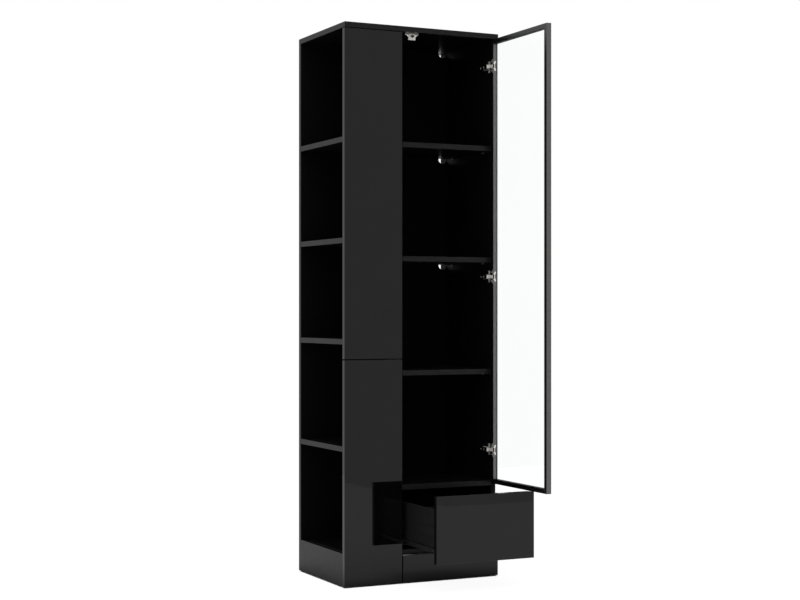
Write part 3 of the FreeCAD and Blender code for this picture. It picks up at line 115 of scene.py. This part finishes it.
# %% [markdown]
# ## What a real surface has
# No real surface has one flat colour. Its tone and its polish drift over some centimetres, and a
# much finer grain breaks up what it mirrors. Both could be painted on, but these parts are solid
# and have no unwrapped faces, so both are noises that fill space. They are laid out in object
# space, where one unit is a metre, so each takes its real size in millimetres. A finish then
# needs only two colours, two roughness values, two sizes and the height of its grain.

# %% One recipe for every finish
NOISE_MIDDLE = (0.3, 0.7)      # nearly all of a noise lies between these two values


def new_finish(name, colours, roughness, cloud_mm, grain_mm, relief_mm, stretch=(1, 1, 1),
               **sockets):
    """A material made by one Principled shader.

    Clouds cloud_mm across move the colour and the roughness between their two ends. A grain of
    grain_mm raises the surface by relief_mm. stretch squeezes both noises along X, Y or Z.
    Other sockets of the shader are set by their own names.
    """
    material = bpy.data.materials.new(name)
    material.use_nodes = True
    tree = material.node_tree
    tree.nodes.clear()
    place = add_node(tree, "ShaderNodeTexCoord")
    noises = []
    for size_mm in (cloud_mm, grain_mm):
        scaled = add_node(tree, "ShaderNodeMapping", {
            "Vector": place.outputs["Object"],
            "Scale": [part / (size_mm * MM) for part in stretch]})
        noises.append(add_node(tree, "ShaderNodeTexNoise", {
            "Vector": scaled.outputs["Vector"], "Scale": 1.0}))
    clouds, grain = noises
    even = add_node(tree, "ShaderNodeMapRange", {
        "Value": clouds.outputs["Fac"], "From Min": NOISE_MIDDLE[0], "From Max": NOISE_MIDDLE[1]})
    tone = add_node(tree, "ShaderNodeMix", {
        "Factor": even.outputs["Result"], "A": linear(colours[0]), "B": linear(colours[1])},
        data_type="RGBA")
    polish = add_node(tree, "ShaderNodeMapRange", {
        "Value": even.outputs["Result"], "To Min": roughness[0], "To Max": roughness[1]})
    bump = add_node(tree, "ShaderNodeBump", {
        "Height": grain.outputs["Fac"], "Distance": relief_mm * MM})
    shader = add_node(tree, "ShaderNodeBsdfPrincipled", {
        "Base Color": tone.outputs["Result"], "Roughness": polish.outputs["Result"],
        "Normal": bump.outputs["Normal"],
        **{socket.replace("_", " "): setting for socket, setting in sockets.items()}})
    add_node(tree, "ShaderNodeOutputMaterial", {"Surface": shader.outputs["BSDF"]})
    return material


# %% Give a finish to CAD nodes
finished = set()


def dress(material, *names):
    """Give CAD nodes a finish in place of the plain one that they were packed with."""
    for name in names:
        mesh = nodes[name].data
        mesh.materials.clear()
        mesh.materials.append(material)
    finished.update(names)
    print(material.name, "on", ", ".join(names))


# %% [markdown]
# ## High-gloss lacquer
# The fronts are lacquered fibreboard. The lacquer is black, sprayed and buffed until it mirrors
# the room, so the eye sees almost no colour of its own, only reflections. What gives real lacquer
# away is a faint orange peel a few millimetres wide, and a slight drift in its polish. Lacquer has
# an IOR of 1.5, but this one mirrors less than that, so its specular level is taken down.

# %% Gloss lacquer on the fronts
lacquer = new_finish(
    "black_gloss_lacquer", ("#040404", "#060606"), (0.015, 0.035), cloud_mm=90, grain_mm=6,
    relief_mm=0.0015, IOR=1.5, Specular_IOR_Level=0.31)

# %% [markdown]
# ## Melamine board
# The carcass is chipboard with a melamine face, pressed against a fine satin plate. It is a deep,
# even black. The narrow edges carry a band of ABS, whose black is a shade greyer than the faces. A
# board's two large faces look along its thickness, so the shader compares the surface's normal
# with that direction and makes the faces darker. Boards lie three ways, hence three finishes. The
# upright ones are the dullest, so that they hardly mirror the daylight in the cable holes.

# %% Melamine on the carcass
FACE_BLACK = "#090909"
SQUARE_ON = 0.9                # a face looks along the thickness if the cosine is over this
BOARDS = {                     # direction of the thickness, specular level, boards
    "lying": ((0, 0, 1), 0.16, [
        "top_panel", "bottom_panel", "display_floor_panel", "display_shelf_1", "display_shelf_2",
        "display_shelf_3", "side_shelf_1", "side_shelf_2", "side_shelf_3", "side_shelf_4"]),
    "upright": ((1, 0, 0), 0.03, ["right_side_panel", "divider_panel"]),
    "plinth": ((0, 1, 0), 0.16, [
        "side_back_panel", "plinth_rear_rail", "plinth_block", "plinth_side"]),
}
for way, (thickness, mirrors, boards) in BOARDS.items():
    melamine = new_finish(
        f"black_melamine_{way}", ("#0e0e0e", "#111111"), (0.32, 0.4), cloud_mm=14, grain_mm=1.2,
        relief_mm=0.004, IOR=1.5, Specular_IOR_Level=mirrors)
    tree = melamine.node_tree
    shader = next(node for node in tree.nodes if node.bl_idname == "ShaderNodeBsdfPrincipled")
    colour = shader.inputs["Base Color"]
    place = add_node(tree, "ShaderNodeTexCoord")
    along = add_node(tree, "ShaderNodeVectorMath", {0: place.outputs["Normal"], 1: thickness},
                     operation="DOT_PRODUCT")
    cosine = work_out(tree, "ABSOLUTE", along.outputs["Value"])
    on_face = work_out(tree, "GREATER_THAN", cosine, SQUARE_ON)
    deeper = add_node(tree, "ShaderNodeMix", {
        "Factor": on_face, "A": colour.links[0].from_socket, "B": linear(FACE_BLACK)},
        data_type="RGBA")
    tree.links.new(deeper.outputs["Result"], colour)
    dress(melamine, *boards)

# %% [markdown]
# ## Painted hardboard
# The thin back of the display bay is hardboard with a coat of matt black paint. Matt paint
# scatters light and mirrors nothing, so the back stays darker than the boards round it.

# %% Matt paint on the display back
matt_paint = new_finish(
    "matt_black_paint", ("#030303", "#050505"), (0.8, 0.9), cloud_mm=20, grain_mm=1.5,
    relief_mm=0.02, Specular_IOR_Level=0.06)
dress(matt_paint, "display_back_panel")

# %% [markdown]
# ## Drawer foil
# The drawer's box is board wrapped in a dark grey foil. The foil has a satin print of fine dashes
# along its length, so its sheen is a little uneven. Squeezing the noise along Y draws the dashes.

# %% Foil on the drawer's box
foil = new_finish(
    "dark_drawer_foil", ("#181818", "#1e1e1e"), (0.34, 0.46), cloud_mm=6, grain_mm=1.5,
    relief_mm=0.01, stretch=(1.0, 0.06, 1.0), IOR=1.5, Specular_IOR_Level=0.12)
dress(foil, "drawer_side_left", "drawer_side_right", "drawer_back", "drawer_bottom")

# %% [markdown]
# ## Anodised aluminium
# The door's bars are extruded aluminium, blasted to a satin surface and anodised black. The dye
# hides the colour of the metal but not its shine, so the bars stay brighter than any board.

# %% Anodised aluminium for the door frame
anodised = new_finish(
    "black_anodised_aluminium", ("#626262", "#6a6a6a"), (0.26, 0.34), cloud_mm=4, grain_mm=0.5,
    relief_mm=0.002, Metallic=1.0, Specular_Tint=linear("#808080"))

# %% [markdown]
# ## Float glass
# The pane is clear float glass with an anti-reflection coat. Plain glass has an IOR of 1.5 and, at
# the flat angle of an open door, would hide a fifth of what is behind it. The coat takes nearly
# all of that away, which a much lower IOR imitates.

# %% Float glass in the door
glass = new_finish(
    "clear_float_glass", ("#fcfefd", "#fdfffe"), (0.0, 0.002), cloud_mm=200, grain_mm=40,
    relief_mm=0.0005, IOR=1.08, Transmission_Weight=1.0)
dress(glass, "door_glass")

# %% [markdown]
# ## Rubber gasket
# A soft grey rubber profile holds the glass in its groove. It is matt and very slightly uneven, and
# shows only as a hairline between a bar and the pane.

# %% Rubber round the glass
rubber = new_finish(
    "gasket_rubber", ("#7c7c7c", "#868686"), (0.5, 0.7), cloud_mm=8, grain_mm=0.7, relief_mm=0.02,
    IOR=1.5)
dress(rubber, "glass_gasket")

# %% [markdown]
# ## Nickel and zinc on steel
# Hinges and latch plates are pressed from steel and plated with nickel, which is warm in tone, with
# faint streaks from the rollers that the sheet came through. Large sheets are bright. The small
# links and plates of the hinges are tumbled in a drum before plating, which leaves them satin, so
# they catch light from a wider part of the room. Screws and pins are zinc-plated. Zinc is greyer
# and duller, with a cloudy surface.

# %% Nickel and zinc
bright_nickel = new_finish(
    "bright_nickel", ("#dcd9d3", "#eeebe6"), (0.14, 0.22), cloud_mm=4, grain_mm=0.8,
    relief_mm=0.004, stretch=(1.0, 0.2, 1.0), Metallic=1.0)
satin_nickel = new_finish(
    "satin_nickel", ("#e6e3de", "#f4f1ec"), (0.55, 0.65), cloud_mm=4, grain_mm=0.8,
    relief_mm=0.004, stretch=(1.0, 0.2, 1.0), Metallic=1.0)
zinc = new_finish(
    "zinc_plated_steel", ("#a8abb0", "#c8cace"), (0.28, 0.42), cloud_mm=2, grain_mm=0.6,
    relief_mm=0.003, Metallic=1.0)
dress(zinc, "corner_cleats", "hinge_pins")

# %% [markdown]
# ## Powder-coated steel
# The runners are bent from steel sheet and powder-coated black. The powder melts into a skin with
# a fine, regular orange peel.

# %% Powder coat for the runners
powder = new_finish(
    "black_powder_coat", ("#202020", "#262626"), (0.3, 0.4), cloud_mm=12, grain_mm=0.9,
    relief_mm=0.012, IOR=1.5)

# %% [markdown]
# ## Moulded plastics
# The latches' housings are acetal, an off-white plastic that looks slightly waxy. Rollers,
# plungers and glides are black ABS with the fine erosion grain of the mould.

# %% Acetal and ABS
acetal = new_finish(
    "white_acetal", ("#d0cec6", "#dcdad3"), (0.3, 0.4), cloud_mm=5, grain_mm=0.8, relief_mm=0.004,
    IOR=1.48)
moulded = new_finish(
    "black_grained_abs", ("#111111", "#151515"), (0.42, 0.58), cloud_mm=4, grain_mm=0.4,
    relief_mm=0.015, IOR=1.5)
dress(moulded, "carcass_roller_left", "carcass_roller_right", "drawer_roller_left",
      "drawer_roller_right", "latch_plunger", "drawer_latch_plunger")

# %% [markdown]
# ## Beech
# The dowels are beech, a pale wood with a straight grain. The noise is squeezed along X, the way
# that most of the dowels lie, so that its lumps become fibres.

# %% Beech on the dowels
beech = new_finish(
    "raw_beech", ("#b88c5e", "#cfa87c"), (0.55, 0.7), cloud_mm=1.2, grain_mm=0.6, relief_mm=0.03,
    stretch=(0.05, 1.0, 1.0))
dress(beech, "carcass_dowels", "drawer_dowels")

# %% [markdown]
# ## Rounded edges
# A knife-sharp edge catches no light, and no pressed, cast or extruded part has one. The CAD model
# leaves these edges sharp. A bevel modifier could round them, but here the mesh is cleaned first:
# its doubled corners are welded, flat faces lose their triangles, and only true edges are rounded.
# The rounded copy then stands in for the CAD node and rides on the same body.

# %% Helpers for pieces with rounded edges
SECOND = 1                     # index of a mesh's second material
WELD = 0.001 * MM              # corners closer than this are one
FLAT = math.radians(1)         # faces that meet at less are flat
SHARP = math.radians(40)       # edges that bend by more are rounded
ROUND_STEPS = 2                # faces across a rounded edge


def softened(shape, edge_mm):
    """Clean a bmesh and round its sharp edges by edge_mm."""
    bmesh.ops.remove_doubles(shape, verts=shape.verts, dist=WELD)
    bmesh.ops.dissolve_limit(shape, angle_limit=FLAT, verts=shape.verts, edges=shape.edges)
    sharp = [edge for edge in shape.edges if edge.is_manifold and edge.calc_face_angle() > SHARP]
    bmesh.ops.bevel(shape, geom=sharp, offset=edge_mm * MM, segments=ROUND_STEPS, profile=0.5,
                    affect="EDGES", clamp_overlap=True)
    return shape


def add_mesh(shape, name):
    """Turn a bmesh into an object of the scene."""
    mesh = bpy.data.meshes.new(name)
    shape.to_mesh(mesh)
    shape.free()
    made = bpy.data.objects.new(name, mesh)
    bpy.context.scene.collection.objects.link(made)
    return made


def stand_in(shape, name, material, node):
    """Turn a bmesh into the piece that stands for a CAD node."""
    piece = add_mesh(shape, name)
    piece.data.materials.append(material)
    piece.data.shade_smooth()
    piece.modifiers.new("flat_faces", "WEIGHTED_NORMAL")
    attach(piece, body_of(nodes[node])[0])
    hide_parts(node)
    finished.add(node)
    print(name, "for", node, "with", len(piece.data.polygons), "faces")
    return piece


def round_edges(node, material, edge_mm):
    """A copy of a CAD node with every sharp edge rounded by edge_mm."""
    shape = bmesh.new()
    shape.from_mesh(nodes[node].data)
    return stand_in(softened(shape, edge_mm), f"rounded_{node}", material, node)


# %% [markdown]
# ## One solid at a time
# Identical fittings share a node, for example all carcass screws. To shape each of them, its
# corners are found by walking along the edges of the mesh until no new corner turns up. The new
# shapes are then poured together again, so that they stay one piece.

# %% Part a node into its solids, and join shapes
def separate_solids(node):
    """The corners of each separate solid in a CAD node."""
    shape = bmesh.new()
    shape.from_mesh(nodes[node].data)
    bmesh.ops.remove_doubles(shape, verts=shape.verts, dist=WELD)
    left, found = set(shape.verts), []
    while left:
        waiting, corners = [left.pop()], []
        while waiting:
            corner = waiting.pop()
            corners.append(corner.co.copy())
            near = {edge.other_vert(corner) for edge in corner.link_edges} & left
            left -= near
            waiting += near
        found.append(corners)
    shape.free()
    return found


def pour(shape, target):
    """Move all of a bmesh into another one."""
    mesh = bpy.data.meshes.new("poured")
    shape.to_mesh(mesh)
    shape.free()
    target.from_mesh(mesh)
    bpy.data.meshes.remove(mesh)


# %% [markdown]
# ## Lacquered fronts
# A front is rounded before it is sprayed, because lacquer runs off a sharp edge. The plinth's front
# has its upward faces coloured pale. This is a painted highlight that stands in for the light its
# top edge catches. A closed drawer hides it, so it shows as a thin pale line below an open one.

# %% Fronts with eased edges
# painted highlight: this pale colour on the plinth's top faces stands in for the light that its
# edge catches
painted_highlight = new_finish(
    "pale_painted_highlight", ("#b0b0ae", "#bababa"), (0.6, 0.75), cloud_mm=12, grain_mm=1.2, relief_mm=0.02,
    IOR=1.5)
for node in ("upper_front_panel", "lower_front_panel", "drawer_front"):
    round_edges(node, lacquer, edge_mm=0.5)
plinth = round_edges("plinth_front", lacquer, edge_mm=0.5)
plinth.data.materials.append(painted_highlight)
# the upward faces of the plinth's front carry the painted highlight
upward = [face for face in plinth.data.polygons if face.normal.z > SQUARE_ON]
for face in upward:
    face.material_index = SECOND
print(len(upward), "face with primer")

# %% [markdown]
# ## Door bars, hinges, latches and runners
# Extruded bars have an edge radius of about 0.4 mm. Pressed hinge parts are about 1 mm thick, so
# their edges round to less than half of that. A moulded housing has softer corners.

# %% Pieces with rounded edges
PRESSED_EDGE_MM = 0.35
for node in ("door_stile_hinge", "door_stile_free", "door_rail_top", "door_rail_bottom"):
    round_edges(node, anodised, edge_mm=0.4)
for node in ("hinge_plates", "hinge_links"):
    round_edges(node, satin_nickel, PRESSED_EDGE_MM)
for node in ("hinge_arms", "latch_bracket"):
    round_edges(node, bright_nickel, PRESSED_EDGE_MM)
for node in ("runner_fixed_left", "runner_fixed_right", "runner_drawer_left",
             "runner_drawer_right"):
    round_edges(node, powder, edge_mm=0.3)

# %% [markdown]
# ## Latch housings
# A push latch has a white cap at its front, where the plunger comes out, and a black body behind
# it. The housing is one solid, so a plane cuts its mesh where the white front ends, and each side
# of the cut gets its own plastic.

# %% Housings with a white front
WHITE_FRONT_MM = 8
for node in ("latch_housing", "drawer_latch_housing"):
    piece = round_edges(node, acetal, edge_mm=0.8)
    piece.data.materials.append(moulded)
    cut = min(corner.co.y for corner in piece.data.vertices) + WHITE_FRONT_MM * MM
    shape = bmesh.new()
    shape.from_mesh(piece.data)
    bmesh.ops.bisect_plane(shape, geom=shape.verts[:] + shape.edges[:] + shape.faces[:],
                           plane_co=(0, cut, 0), plane_no=(0, 1, 0))
    for face in shape.faces:
        face.material_index = int(face.calc_center_median().y > cut)
    shape.to_mesh(piece.data)
    shape.free()
    print(node, "white_front ends at", round(cut, 4))

# %% [markdown]
# ## Hinge cups
# The cup of a hinge for a narrow bar is held by a pressed plate with two wings, which lies on the
# bar's inner side. It is a shallow V with its open side to the glass, and a notch at its root lets
# the link swing through. Only its outline is special, so it is drawn as one flat face, pushed out
# to the thickness of the sheet and rounded. The outline's points are across the bar and up.

# %% Cups and the winged plates that hold them
WING_SHEET_MM = 1.0
WING_OUTLINE_MM = [(3.4, 7.0), (0.7, 7.0), (0.7, 9.5), (5.2, 17.5), (10.2, 17.5), (10.2, 12.0),
                   (6.2, 6.0)]
bar_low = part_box("door_stile_hinge")[0]
cups = bmesh.new()
cups.from_mesh(nodes["hinge_cups"].data)
softened(cups, PRESSED_EDGE_MM)
middles = sorted({round(sum(c.z for c in corners) / len(corners), 4)
                  for corners in separate_solids("hinge_cups")})
for middle_z in middles:
    plate = bmesh.new()
    outline = WING_OUTLINE_MM + [(across, -up) for across, up in reversed(WING_OUTLINE_MM)]
    flat = plate.faces.new([
        plate.verts.new((bar_low.x + across * MM, bar_low.y, middle_z + up * MM))
        for across, up in outline])
    raised = bmesh.ops.extrude_face_region(plate, geom=[flat])["geom"]
    bmesh.ops.translate(plate, vec=(0, -WING_SHEET_MM * MM, 0),
                        verts=[part for part in raised if isinstance(part, bmesh.types.BMVert)])
    bmesh.ops.recalc_face_normals(plate, faces=plate.faces)
    for face in softened(plate, edge_mm=0.3).faces:
        face.material_index = SECOND
    pour(plate, cups)
winged = stand_in(cups, "winged_hinge_cups", bright_nickel, "hinge_cups")
winged.data.materials.append(satin_nickel)
print("hinges at", middles)

# %% [markdown]
# ## Turned fittings
# Screws, shelf pins and glides are round, but the CAD model makes them with six or eight flat
# sides. Each is drawn again as a profile that is spun about its own axis. Where a fitting lies, how
# long and how thick it is, all comes from the solid that it replaces.

# %% Read a fitting's place and size
NEAR_HEAD = 0.95               # a corner belongs to the head if its radius is over this share
Fitting = namedtuple("Fitting", "start way length thin wide head")


def measure(corners, axis=None):
    """Where a fitting starts and points, its length, both its radii and the height of its head."""
    low, high = (Vector([pick(c[i] for c in corners) for i in range(3)]) for pick in (min, max))
    axis = axis if axis is not None else max(range(3), key=lambda i: high[i] - low[i])
    middle = (low + high) / 2
    across = [i for i in range(3) if i != axis]
    radii = [(c[axis], math.hypot(*(c[i] - middle[i] for i in across))) for c in corners]
    wide = max(radius for _, radius in radii)
    ends = [max(radius for at, radius in radii if abs(at - end) < WELD)
            for end in (low[axis], high[axis])]
    up = ends[1] >= ends[0]
    head = [at for at, radius in radii if radius > NEAR_HEAD * wide]
    start, way = middle.copy(), Vector((0, 0, 0))
    start[axis] = low[axis] if up else high[axis]
    way[axis] = 1 if up else -1
    return Fitting(start, way, high[axis] - low[axis], min(ends), wide, max(head) - min(head))


# %% Spin a profile, and put a copy in each place
TURN_STEPS = 24


def turned(profile):
    """Spin a line of (radius, height) points about Z."""
    shape = bmesh.new()
    points = [shape.verts.new((radius, 0, height)) for radius, height in profile]
    lines = [shape.edges.new(pair) for pair in zip(points, points[1:])]
    bmesh.ops.spin(shape, geom=points + lines, axis=(0, 0, 1), steps=TURN_STEPS, angle=math.tau)
    bmesh.ops.remove_doubles(shape, verts=shape.verts, dist=WELD)
    bmesh.ops.recalc_face_normals(shape, faces=shape.faces)
    return shape


def turn_all(node, shaped, material, axis=None):
    """Replace every solid of a node with what shaped makes of its measures."""
    joined = bmesh.new()
    for corners in separate_solids(node):
        fitting = measure(corners, axis)
        turn = fitting.way.to_track_quat("Z", "X").to_matrix().to_4x4()
        shape = shaped(fitting)
        shape.transform(Matrix.Translation(fitting.start) @ turn)
        pour(shape, joined)
    return stand_in(joined, f"turned_{node}", material, node)


# %% [markdown]
# ## Screws with a cross recess
# A pan head is a flat dome. Its cross recess is a tapered plus sign, which is cut out with the
# boolean modifier, as a punch would press it in. Threads are left out, because each one is buried.

# %% Screws
RECESS_REACH = 0.55            # reach of the cross's arms, as a share of the head's radius
RECESS_HALF = 0.13             # half the width of an arm, as a share of that radius
RECESS_DEEP = 0.6              # depth, as a share of the head's height
RECESS_TAPER = 0.6             # the cross at its bottom, as a share of its top
TIP_LONG = 3                   # length of a screw's tip, in radii of its shank
TIP = [(0, 0), (0.5, 0.6), (1, 1)]                   # shares of the shank's radius, of that length
HEAD = [(1, 0), (1, 0.4), (0.88, 0.8), (0.6, 1), (0, 1)]  # shares of its radius, of its height


def cross_cutter(top, head, deep):
    """A tapered plus sign that reaches from above the head down into it."""
    reach, half = RECESS_REACH * head, RECESS_HALF * head
    arm = [Vector((half, half, 0)), Vector((half, reach, 0)), Vector((-half, reach, 0))]
    outline = [Matrix.Rotation(quarter * math.tau / 4, 3, "Z") @ point
               for quarter in range(4) for point in arm]
    shape = bmesh.new()
    rings = [[shape.verts.new((point.x * share, point.y * share, height)) for point in outline]
             for share, height in ((RECESS_TAPER, top - deep), (1, top + deep))]
    shape.faces.new(reversed(rings[0]))
    shape.faces.new(rings[1])
    for i, corner in enumerate(rings[0]):
        after = (i + 1) % len(outline)
        shape.faces.new((corner, rings[0][after], rings[1][after], rings[1][i]))
    bmesh.ops.recalc_face_normals(shape, faces=shape.faces)
    return shape


def cut_out(shape, cutter):
    """Take the cutter out of a shape with the boolean modifier."""
    body, punch = add_mesh(shape, "body"), add_mesh(cutter, "punch")
    recess = body.modifiers.new("recess", "BOOLEAN")
    recess.operation = "DIFFERENCE"
    recess.object = punch
    done = bmesh.new()
    done.from_object(body, bpy.context.evaluated_depsgraph_get())
    for block in (body, punch):
        mesh = block.data
        bpy.data.objects.remove(block)
        bpy.data.meshes.remove(mesh)
    return done


def screw(fitting):
    """A pan-head screw that stands on its tip, with a cross recess in its head."""
    length, shank, head = fitting.length, fitting.thin, fitting.wide
    head_height = min(fitting.head, head / 2)
    under = length - head_height
    tip = min(TIP_LONG * shank, under / 2)
    body = turned([(out * shank, up * tip) for out, up in TIP] + [(shank, under)]
                  + [(out * head, under + up * head_height) for out, up in HEAD])
    return cut_out(body, cross_cutter(length, head, RECESS_DEEP * head_height))


for node in ("carcass_screws", "hinge_arm_screws", "drawer_screws"):
    turn_all(node, screw, zinc)
turn_all("hinge_cup_screws", screw, zinc, axis=0)

# %% [markdown]
# ## Shelf pins and glides
# A shelf pin is turned from steel, with chamfered ends and a narrow groove where it enters the
# board. A glide is a low plastic disc whose lower edge is rounded, so that it slides over a carpet.

# %% Shelf pins and glides
PIN_EASE = 0.2                 # chamfer of a pin's ends, as a share of its radius
PIN_GROOVE = 0.12              # depth of its groove, as a share of its radius
GLIDE_STEPS = 4                # faces up the rounded edge of a glide


def shelf_pin(fitting):
    """A pin with chamfered ends and a groove in its middle."""
    length, radius = fitting.length, fitting.wide
    ease, groove = PIN_EASE * radius, PIN_GROOVE * radius
    middle = length / 2
    return turned([(0, 0), (radius - ease, 0), (radius, ease), (radius, middle - 2 * ease),
                   (radius - groove, middle - ease), (radius - groove, middle),
                   (radius, middle + ease), (radius, length - ease), (radius - ease, length),
                   (0, length)])


def glide(fitting):
    """A low disc with a rounded lower edge."""
    length, radius = fitting.length, fitting.wide
    arc = [math.tau / 4 * step / GLIDE_STEPS for step in range(GLIDE_STEPS + 1)]
    ease = length / 2
    low = [(radius - ease + ease * math.sin(turn), ease - ease * math.cos(turn)) for turn in arc]
    return turned([(0, 0)] + low + [(radius, length), (0, length)])


turn_all("shelf_supports", shelf_pin, zinc, axis=0)
turn_all("floor_glides", glide, moulded, axis=2)

left_plain = sorted(set(nodes) - finished)
print("nodes without a finish:", left_plain or "none")

# %% [markdown]
# ## Floor
# A white floor lies under the object. The camera and every mirror see it as white paper does in a
# studio, and a part of its colour still comes from the light that falls on it, so the object keeps
# a soft shadow. The paper ends a few metres away, where the glossy fronts mirror its edge, and it
# is cut back at the right, where the drawer's front does. Under the bookcase the paper's own white
# is switched off, so only the light that reaches it shows there. Close beside the plinth, for every
# ray but the camera's, the paper's colour and its own white fade towards black. This is a painted
# shadow, which mirrors see as the paper darkening towards the plinth.

# %% A pale floor
FLOOR_HALF = 3.3               # from the paper's middle to its edges
CUT_BACK = (1.05, -2.33)       # the corner where the paper is cut back
FLOOR_WHITE = 1.06             # how bright the paper looks by itself
FLOOR_LIT = 0.12               # share of its look that comes from the light on it
FLOOR_LIT_IN_GLOSS = 0.7       # the same share as mirrors see it
# painted shadow: CONTACT_SHADE and CONTACT_LEFT darken the paper beside the plinth, for every ray
# but the camera's
CONTACT_SHADE = 0.18           # how far from the plinth the paper is darker
CONTACT_LEFT = 0.35            # what is left of its light beside the plinth
PAPER = "#f8f8f8"
shape = bmesh.new()
outline = [(-FLOOR_HALF, -FLOOR_HALF), (CUT_BACK[0], -FLOOR_HALF), CUT_BACK,
           (FLOOR_HALF, CUT_BACK[1]), (FLOOR_HALF, FLOOR_HALF), (-FLOOR_HALF, FLOOR_HALF)]
shape.faces.new([shape.verts.new((x, y, 0)) for x, y in outline])
floor = add_mesh(shape, "studio_floor")

# %% Paper that keeps a soft shadow
def seen_directly(tree, path):
    """1 for a ray that leaves the camera, straight or through glass, and 0 for any other."""
    return work_out(
        tree, "MAXIMUM", path.outputs["Is Camera Ray"], path.outputs["Is Transmission Ray"])


carcass_low, carcass_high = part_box("lower_front_panel")[0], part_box("right_side_panel")[1]
middle, half = (carcass_low + carcass_high) / 2, (carcass_high - carcass_low) / 2
paper = bpy.data.materials.new("white_paper")
paper.use_nodes = True
tree = paper.node_tree
tree.nodes.clear()
path = add_node(tree, "ShaderNodeLightPath")
seen = seen_directly(tree, path)
plain = work_out(tree, "MULTIPLY", seen, 1 - FLOOR_LIT)
gloss = work_out(tree, "MULTIPLY", path.outputs["Is Glossy Ray"], 1 - FLOOR_LIT_IN_GLOSS)
own = work_out(tree, "MAXIMUM", plain, gloss)

vector_math = "ShaderNodeVectorMath"
spot = add_node(tree, "ShaderNodeTexCoord").outputs["Object"]
aside = work_out(tree, "SUBTRACT", spot, (middle.x, middle.y, 0.0), kind=vector_math)
aside = work_out(tree, "ABSOLUTE", aside, kind=vector_math)
aside = work_out(tree, "SUBTRACT", aside, (half.x, half.y, 0.0), kind=vector_math)
sides = add_node(tree, "ShaderNodeSeparateXYZ", {0: aside}).outputs
beside = work_out(tree, "MAXIMUM", sides["X"], sides["Y"])
outside = work_out(tree, "GREATER_THAN", beside, 0.0)
# painted shadow: fading and clear darken the paper's colour and its own white towards the plinth
fading = add_node(tree, "ShaderNodeMapRange", {
    "Value": beside, "From Max": CONTACT_SHADE, "To Min": CONTACT_LEFT})
clear = work_out(tree, "MAXIMUM", fading.outputs["Result"], seen)
own = work_out(tree, "MULTIPLY", work_out(tree, "MULTIPLY", own, outside), clear)

shaded = add_node(tree, "ShaderNodeMix", {
    "Factor": clear, "A": linear("#000000"), "B": linear(PAPER)}, data_type="RGBA")
lit = add_node(tree, "ShaderNodeBsdfDiffuse", {"Color": shaded.outputs["Result"]})
white = add_node(tree, "ShaderNodeEmission", {
    "Color": linear("#ffffff"), "Strength": FLOOR_WHITE})
blend = add_node(tree, "ShaderNodeMixShader", {
    0: own, 1: lit.outputs["BSDF"], 2: white.outputs["Emission"]})
add_node(tree, "ShaderNodeOutputMaterial", {"Surface": blend.outputs["Shader"]})
floor.data.materials.append(paper)

# %% [markdown]
# ## World
# The room is an even white for the camera and through glass. What mirrors see of it, and the light
# that it throws on matt surfaces, are a little weaker, which leaves room for the lamp.

# %% World
WORLD_LIGHT = 0.85             # what matt surfaces get
WORLD_IN_GLOSS = 0.78          # what mirrors see
world = bpy.data.worlds.new("studio")
bpy.context.scene.world = world
world.use_nodes = True
tree = world.node_tree
tree.nodes.clear()
path = add_node(tree, "ShaderNodeLightPath")
matt = add_node(tree, "ShaderNodeMapRange", {
    "Value": path.outputs["Is Glossy Ray"], "To Min": WORLD_LIGHT, "To Max": WORLD_IN_GLOSS})
strength = add_node(tree, "ShaderNodeMapRange", {
    "Value": seen_directly(tree, path), "To Min": matt.outputs["Result"], "To Max": 1.0})
sky = add_node(tree, "ShaderNodeBackground", {
    "Color": linear("#ffffff"), "Strength": strength.outputs["Result"]})
add_node(tree, "ShaderNodeOutputWorld", {"Surface": sky.outputs["Background"]})

# %% [markdown]
# ## Lamp
# One large soft lamp hangs high in front and to the left. It is so large and so high that its
# shadow has no hard edge and no front mirrors it.

# %% Soft lamp
LAMP_SIZE = 3.5
LAMP_WATTS = 60.0
LAMP_PLACE = Vector((-0.8, -1.8, 4.2))
LAMP_AIM = Vector((0.0, 0.0, 0.9))
lamp_data = bpy.data.lights.new("softbox", "AREA")
lamp_data.size = LAMP_SIZE
lamp_data.energy = LAMP_WATTS
lamp = bpy.data.objects.new("softbox", lamp_data)
bpy.context.scene.collection.objects.link(lamp)
lamp.location = LAMP_PLACE
lamp.rotation_euler = (LAMP_AIM - LAMP_PLACE).to_track_quat("-Z", "Y").to_euler()

# %% [markdown]
# ## Camera
# The camera stands 5.4 m away, to the left of the bookcase, nearly as high as its middle, and
# looks level. A level camera keeps all upright edges upright. A small shift moves the picture
# without tilting the camera.

# %% Camera
CAMERA_PLACE = (-2.4659, -4.8398, 0.9318)
CAMERA_TURN = math.radians(-25.468)   # away from the direction of Y
SENSOR_MM = 36.0
LENS_MM = 71.055
SHIFT = (0.0269, 0.0129)              # in widths of the picture
camera_data = bpy.data.cameras.new("camera")
camera_data.sensor_width = SENSOR_MM
camera_data.lens = LENS_MM
camera_data.shift_x, camera_data.shift_y = SHIFT
camera = bpy.data.objects.new("camera", camera_data)
bpy.context.scene.collection.objects.link(camera)
camera.location = CAMERA_PLACE
camera.rotation_euler = (math.radians(90), 0.0, CAMERA_TURN)
bpy.context.scene.camera = camera
bpy.context.scene.view_settings.view_transform = "Standard"
